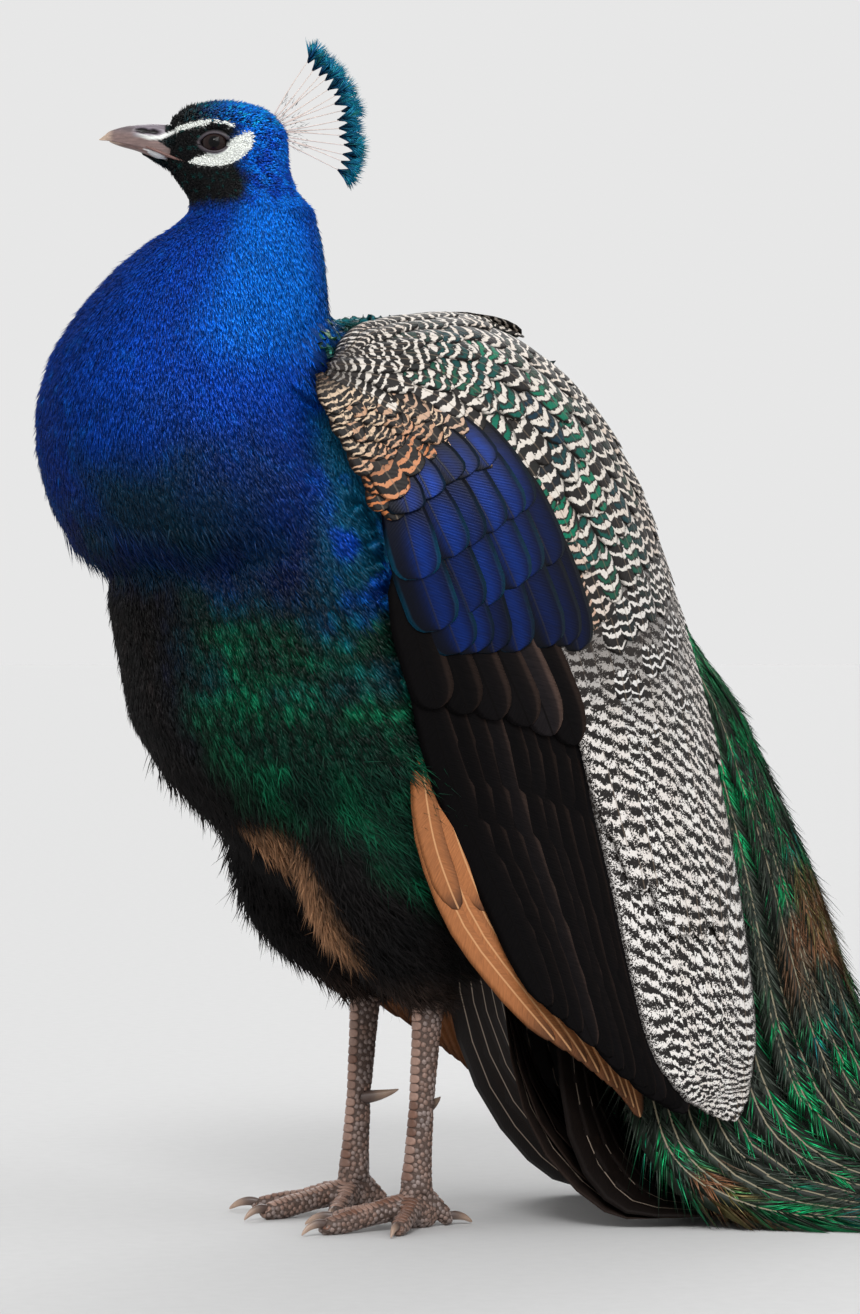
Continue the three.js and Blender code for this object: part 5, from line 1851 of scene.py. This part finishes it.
def plateTemplate(rimCount):
    turn = np.arange(rimCount) * 2 * math.pi / rimCount
    rim = np.stack([np.cos(turn), np.sin(turn)], axis=1)
    rim = np.sign(rim) * np.abs(rim) ** 0.75
    inner = [0.84] if rimCount < 10 else [0.86, 0.58, 0.28]
    flat = np.concatenate([rim] + [rim * share for share in inner] + [[[0, 0], [0, 0]]])
    level = np.concatenate([np.full(rimCount, -0.3), np.full(rimCount * len(inner), 0.9), [1.0, -1.2]])
    size, top = rimCount, len(inner) * rimCount
    steps = [(a, (a + 1) % size) for a in range(size)]
    faces = [(a + low, b + low, b + low + size, a + low + size)
             for low in range(0, top, size) for a, b in steps]
    faces += [(a + top, b + top, top + size) for a, b in steps]
    faces += [(b, a, top + size + 1) for a, b in steps]
    return flat, level, faces


def addPlates(name, centres, normals, ways, across, along, rise, rimCount, tone, material):
    # small shields laid over the legs
    flat, level, faces = plateTemplate(rimCount)
    side = np.cross(ways, normals)
    spots = centres[:, None] + side[:, None] * (flat[:, :1] * across[:, None, None])
    spots = spots + ways[:, None] * (flat[:, 1:] * along[:, None, None])
    points = np.zeros(spots.shape)
    for plate, corner in np.ndindex(spots.shape[:2]):
        found, normal, _, _ = legTree.find_nearest(Vector(spots[plate, corner]))
        tilt = 0.25 * flat[corner, 1] if level[corner] > -1 else 0
        points[plate, corner] = found + normal * ((level[corner] + tilt) * rise[plate])
    count, size = points.shape[:2]
    every = [tuple(int(corner) + plate * size for corner in face) for plate in range(count) for face in faces]
    tint = blend(scaleTones["rim"], tone[:, None], np.where(level > 0, 1.0, 0.0)[None])
    paints = {"tint": tint.reshape(-1, 3), "place": points.reshape(-1, 3) / 100}
    patches = squares(count, 0.5 + flat * 0.42)
    addPiece(name, points.reshape(-1, 3), every, material, paints, patches, ())


def spaced(points, gap):
    # the points that keep a gap from every earlier one
    kept, cells = [], {}
    steps = list(np.ndindex(3, 3, 3))
    for index, cell in enumerate(map(tuple, np.floor(points / gap).astype(int))):
        near = [cells.get((cell[0] + a - 1, cell[1] + b - 1, cell[2] + c - 1), ()) for a, b, c in steps]
        if all(np.sum((points[index] - points[other]) ** 2) > gap * gap for group in near for other in group):
            kept.append(index)
            cells.setdefault(cell, []).append(index)
    return np.array(kept)


def stained(base, stain, share, depth, spread):
    return blend(base, stain, share) * (depth + spread * random.random(len(share)))[:, None]


shields = {"shank": (150, 27, -5.2), "toe": (13, 3, 3.9), "front": 52, "above": 0.93}


def makeScutes():
    # broad scutes down the fronts of shanks and toes, and small scales everywhere else
    look = hornFinish("leg scales", 0.5, (50.0, 50.0, 50.0), 0.5)
    corners = legPoints[legFaces]
    area = faceAreas(corners)
    picked = np.searchsorted(np.cumsum(area), random.random(legs["thrown"]) * area.sum())
    centres, normals = corners[picked].mean(axis=1), unit(legNormals[legFaces[picked]].mean(axis=1))
    fronts = []
    plain = np.ones(len(centres), bool)

    def addFront(start, way, facts):
        found, normal = legTree.ray_cast(Vector(start), Vector(way), 90)[:2]
        if found:
            fronts.append((tuple(found), tuple(normal), *facts))

    for label, side in sides.items():
        top, base = legLine(side)
        mine = centres[:, 1] * side > 0
        share = (top[2] - centres[:, 2]) / (top[2] - base[2])
        axis = top + (base - top) * share[:, None]
        ahead = np.degrees(np.arctan2(np.abs(centres[:, 1] - axis[:, 1]), axis[:, 0] - centres[:, 0]))
        plain &= ~(mine & (share < shields["above"]) & (ahead < shields["front"]))
        for height in np.arange(*shields["shank"]):
            share = (top[2] - height) / (top[2] - base[2])
            start = top + (base - top) * share + np.array([-60, 0, 0])
            addFront(start, (1, 0, 0), (unit(base - top), 9.5 + 2 * smooth(0.8, 1, share), 2.75, 0.75))
        first, past, step = shields["toe"]
        for heading, length, radius in toes[label].values():
            way = toeWay(side, heading)
            offset = centres - base * [1, 1, 0]
            run = offset @ way
            aside = np.linalg.norm((offset - run[:, None] * way)[:, :2], axis=1)
            onTop = (aside < radius * 0.7) & (normals[:, 2] > 0.35)
            plain &= ~(mine & (run > first) & (run < length) & onTop)
            for distance in np.arange(first, length + past, step):
                start = base * [1, 1, 0] + up * 60 + way * distance
                addFront(start, (0, 0, -1), (way, radius * 0.95, 2.1, 0.6))
    centres, normals = centres[plain], normals[plain]
    kept = spaced(centres, legs["scale"] * 1.72)
    centres, normals = centres[kept], normals[kept]
    ways = flattened(np.tile([-0.4, 0.0, -1.0], (len(centres), 1)), normals)
    stain = smooth(0.35, 0.7, cloud(centres, 9, 4))
    tone = stained(scaleTones["side"], scaleTones["front"] * 0.75, stain, 0.75, 0.45)
    size = legs["scale"] * (0.98 + 0.2 * random.random(len(centres)))
    addPlates("leg_scales", centres, normals, ways, size, size, np.full(len(centres), 0.36), 7, tone, look)
    found, normal, way, *sizes = (np.array(part) for part in zip(*fronts))
    stain = smooth(0.4, 0.7, cloud(found, 13, 6))
    tone = stained(scaleTones["front"], scaleTones["stain"], stain, 0.8, 0.35)
    addPlates("leg_scutes", found, normal, flattened(way, normal), *sizes, 16, tone, look)
    print("leg scales", len(centres), len(found))


claws = {
    # each ring: how far past the toe's end, how high as a share of the toe's radius, half width
    "rings": [(-4, 0.86, 2.2), (-1, 0.98, 2.5), (3, 1.0, 2.45), (8, 0.8, 1.9), (12, 0.42, 1.1)],
    "tip": (13.8, 1.1, 0.35), "dark": colour(88, 72, 66), "pale": colour(168, 142, 124),
}
spurs = {
    "from": 0.38, "reach": (19.0, -15.0, 4.0), "halves": [(4.5, 4.5), (3.5, 3.5), (1.9, 1.9), (0.4, 0.4)],
}


def clawPaint(end, low, high):
    # dark or pale by the distance from one end
    return lambda points: {
        "tint": blend(claws["pale"], claws["dark"], smooth(low, high, np.linalg.norm(points - end, axis=1))),
        "place": points / 100,
    }


def makeClaws():
    look = hornFinish("claw horn", 0.4, (20.0, 20.0, 20.0), 0.5)
    for label, side in sides.items():
        ankle, base = legLine(side)
        for toe, (heading, length, radius) in toes[label].items():
            way = toeWay(side, heading)
            levels = [(reach, radius * share, half) for reach, share, half in claws["rings"]] + [claws["tip"]]
            line = [base * [1, 1, 0] + up * height + way * (length + reach) for reach, height, _ in levels]
            rings = taper(line, [(half * 0.82, half * 1.08) for _, _, half in levels], np.cross(way, up), 18)
            name = "claw_%s_%s" % (label, toe)
            addLofts(name + "_horn", [rings], 14, clawPaint(line[-1], 4, 15), look, (name,))
        root = ankle * spurs["from"] + base * (1 - spurs["from"])
        reach = np.array(spurs["reach"]) * [1, side, 1]
        line = [root, root + reach * 0.45, root + reach * 0.8 + up * 0.6, root + reach * 1.02 + up * 1.6]
        rings = taper(line, spurs["halves"], up, 18)
        name = "spur_" + label
        addLofts(name + "_horn", [rings], 16, clawPaint(root, 18, 8), look, (name,))


makeBill()
makeBristles()
makeEyes()
makeLids()
makeCrest()
makeScutes()
makeClaws()
print("head and legs made")
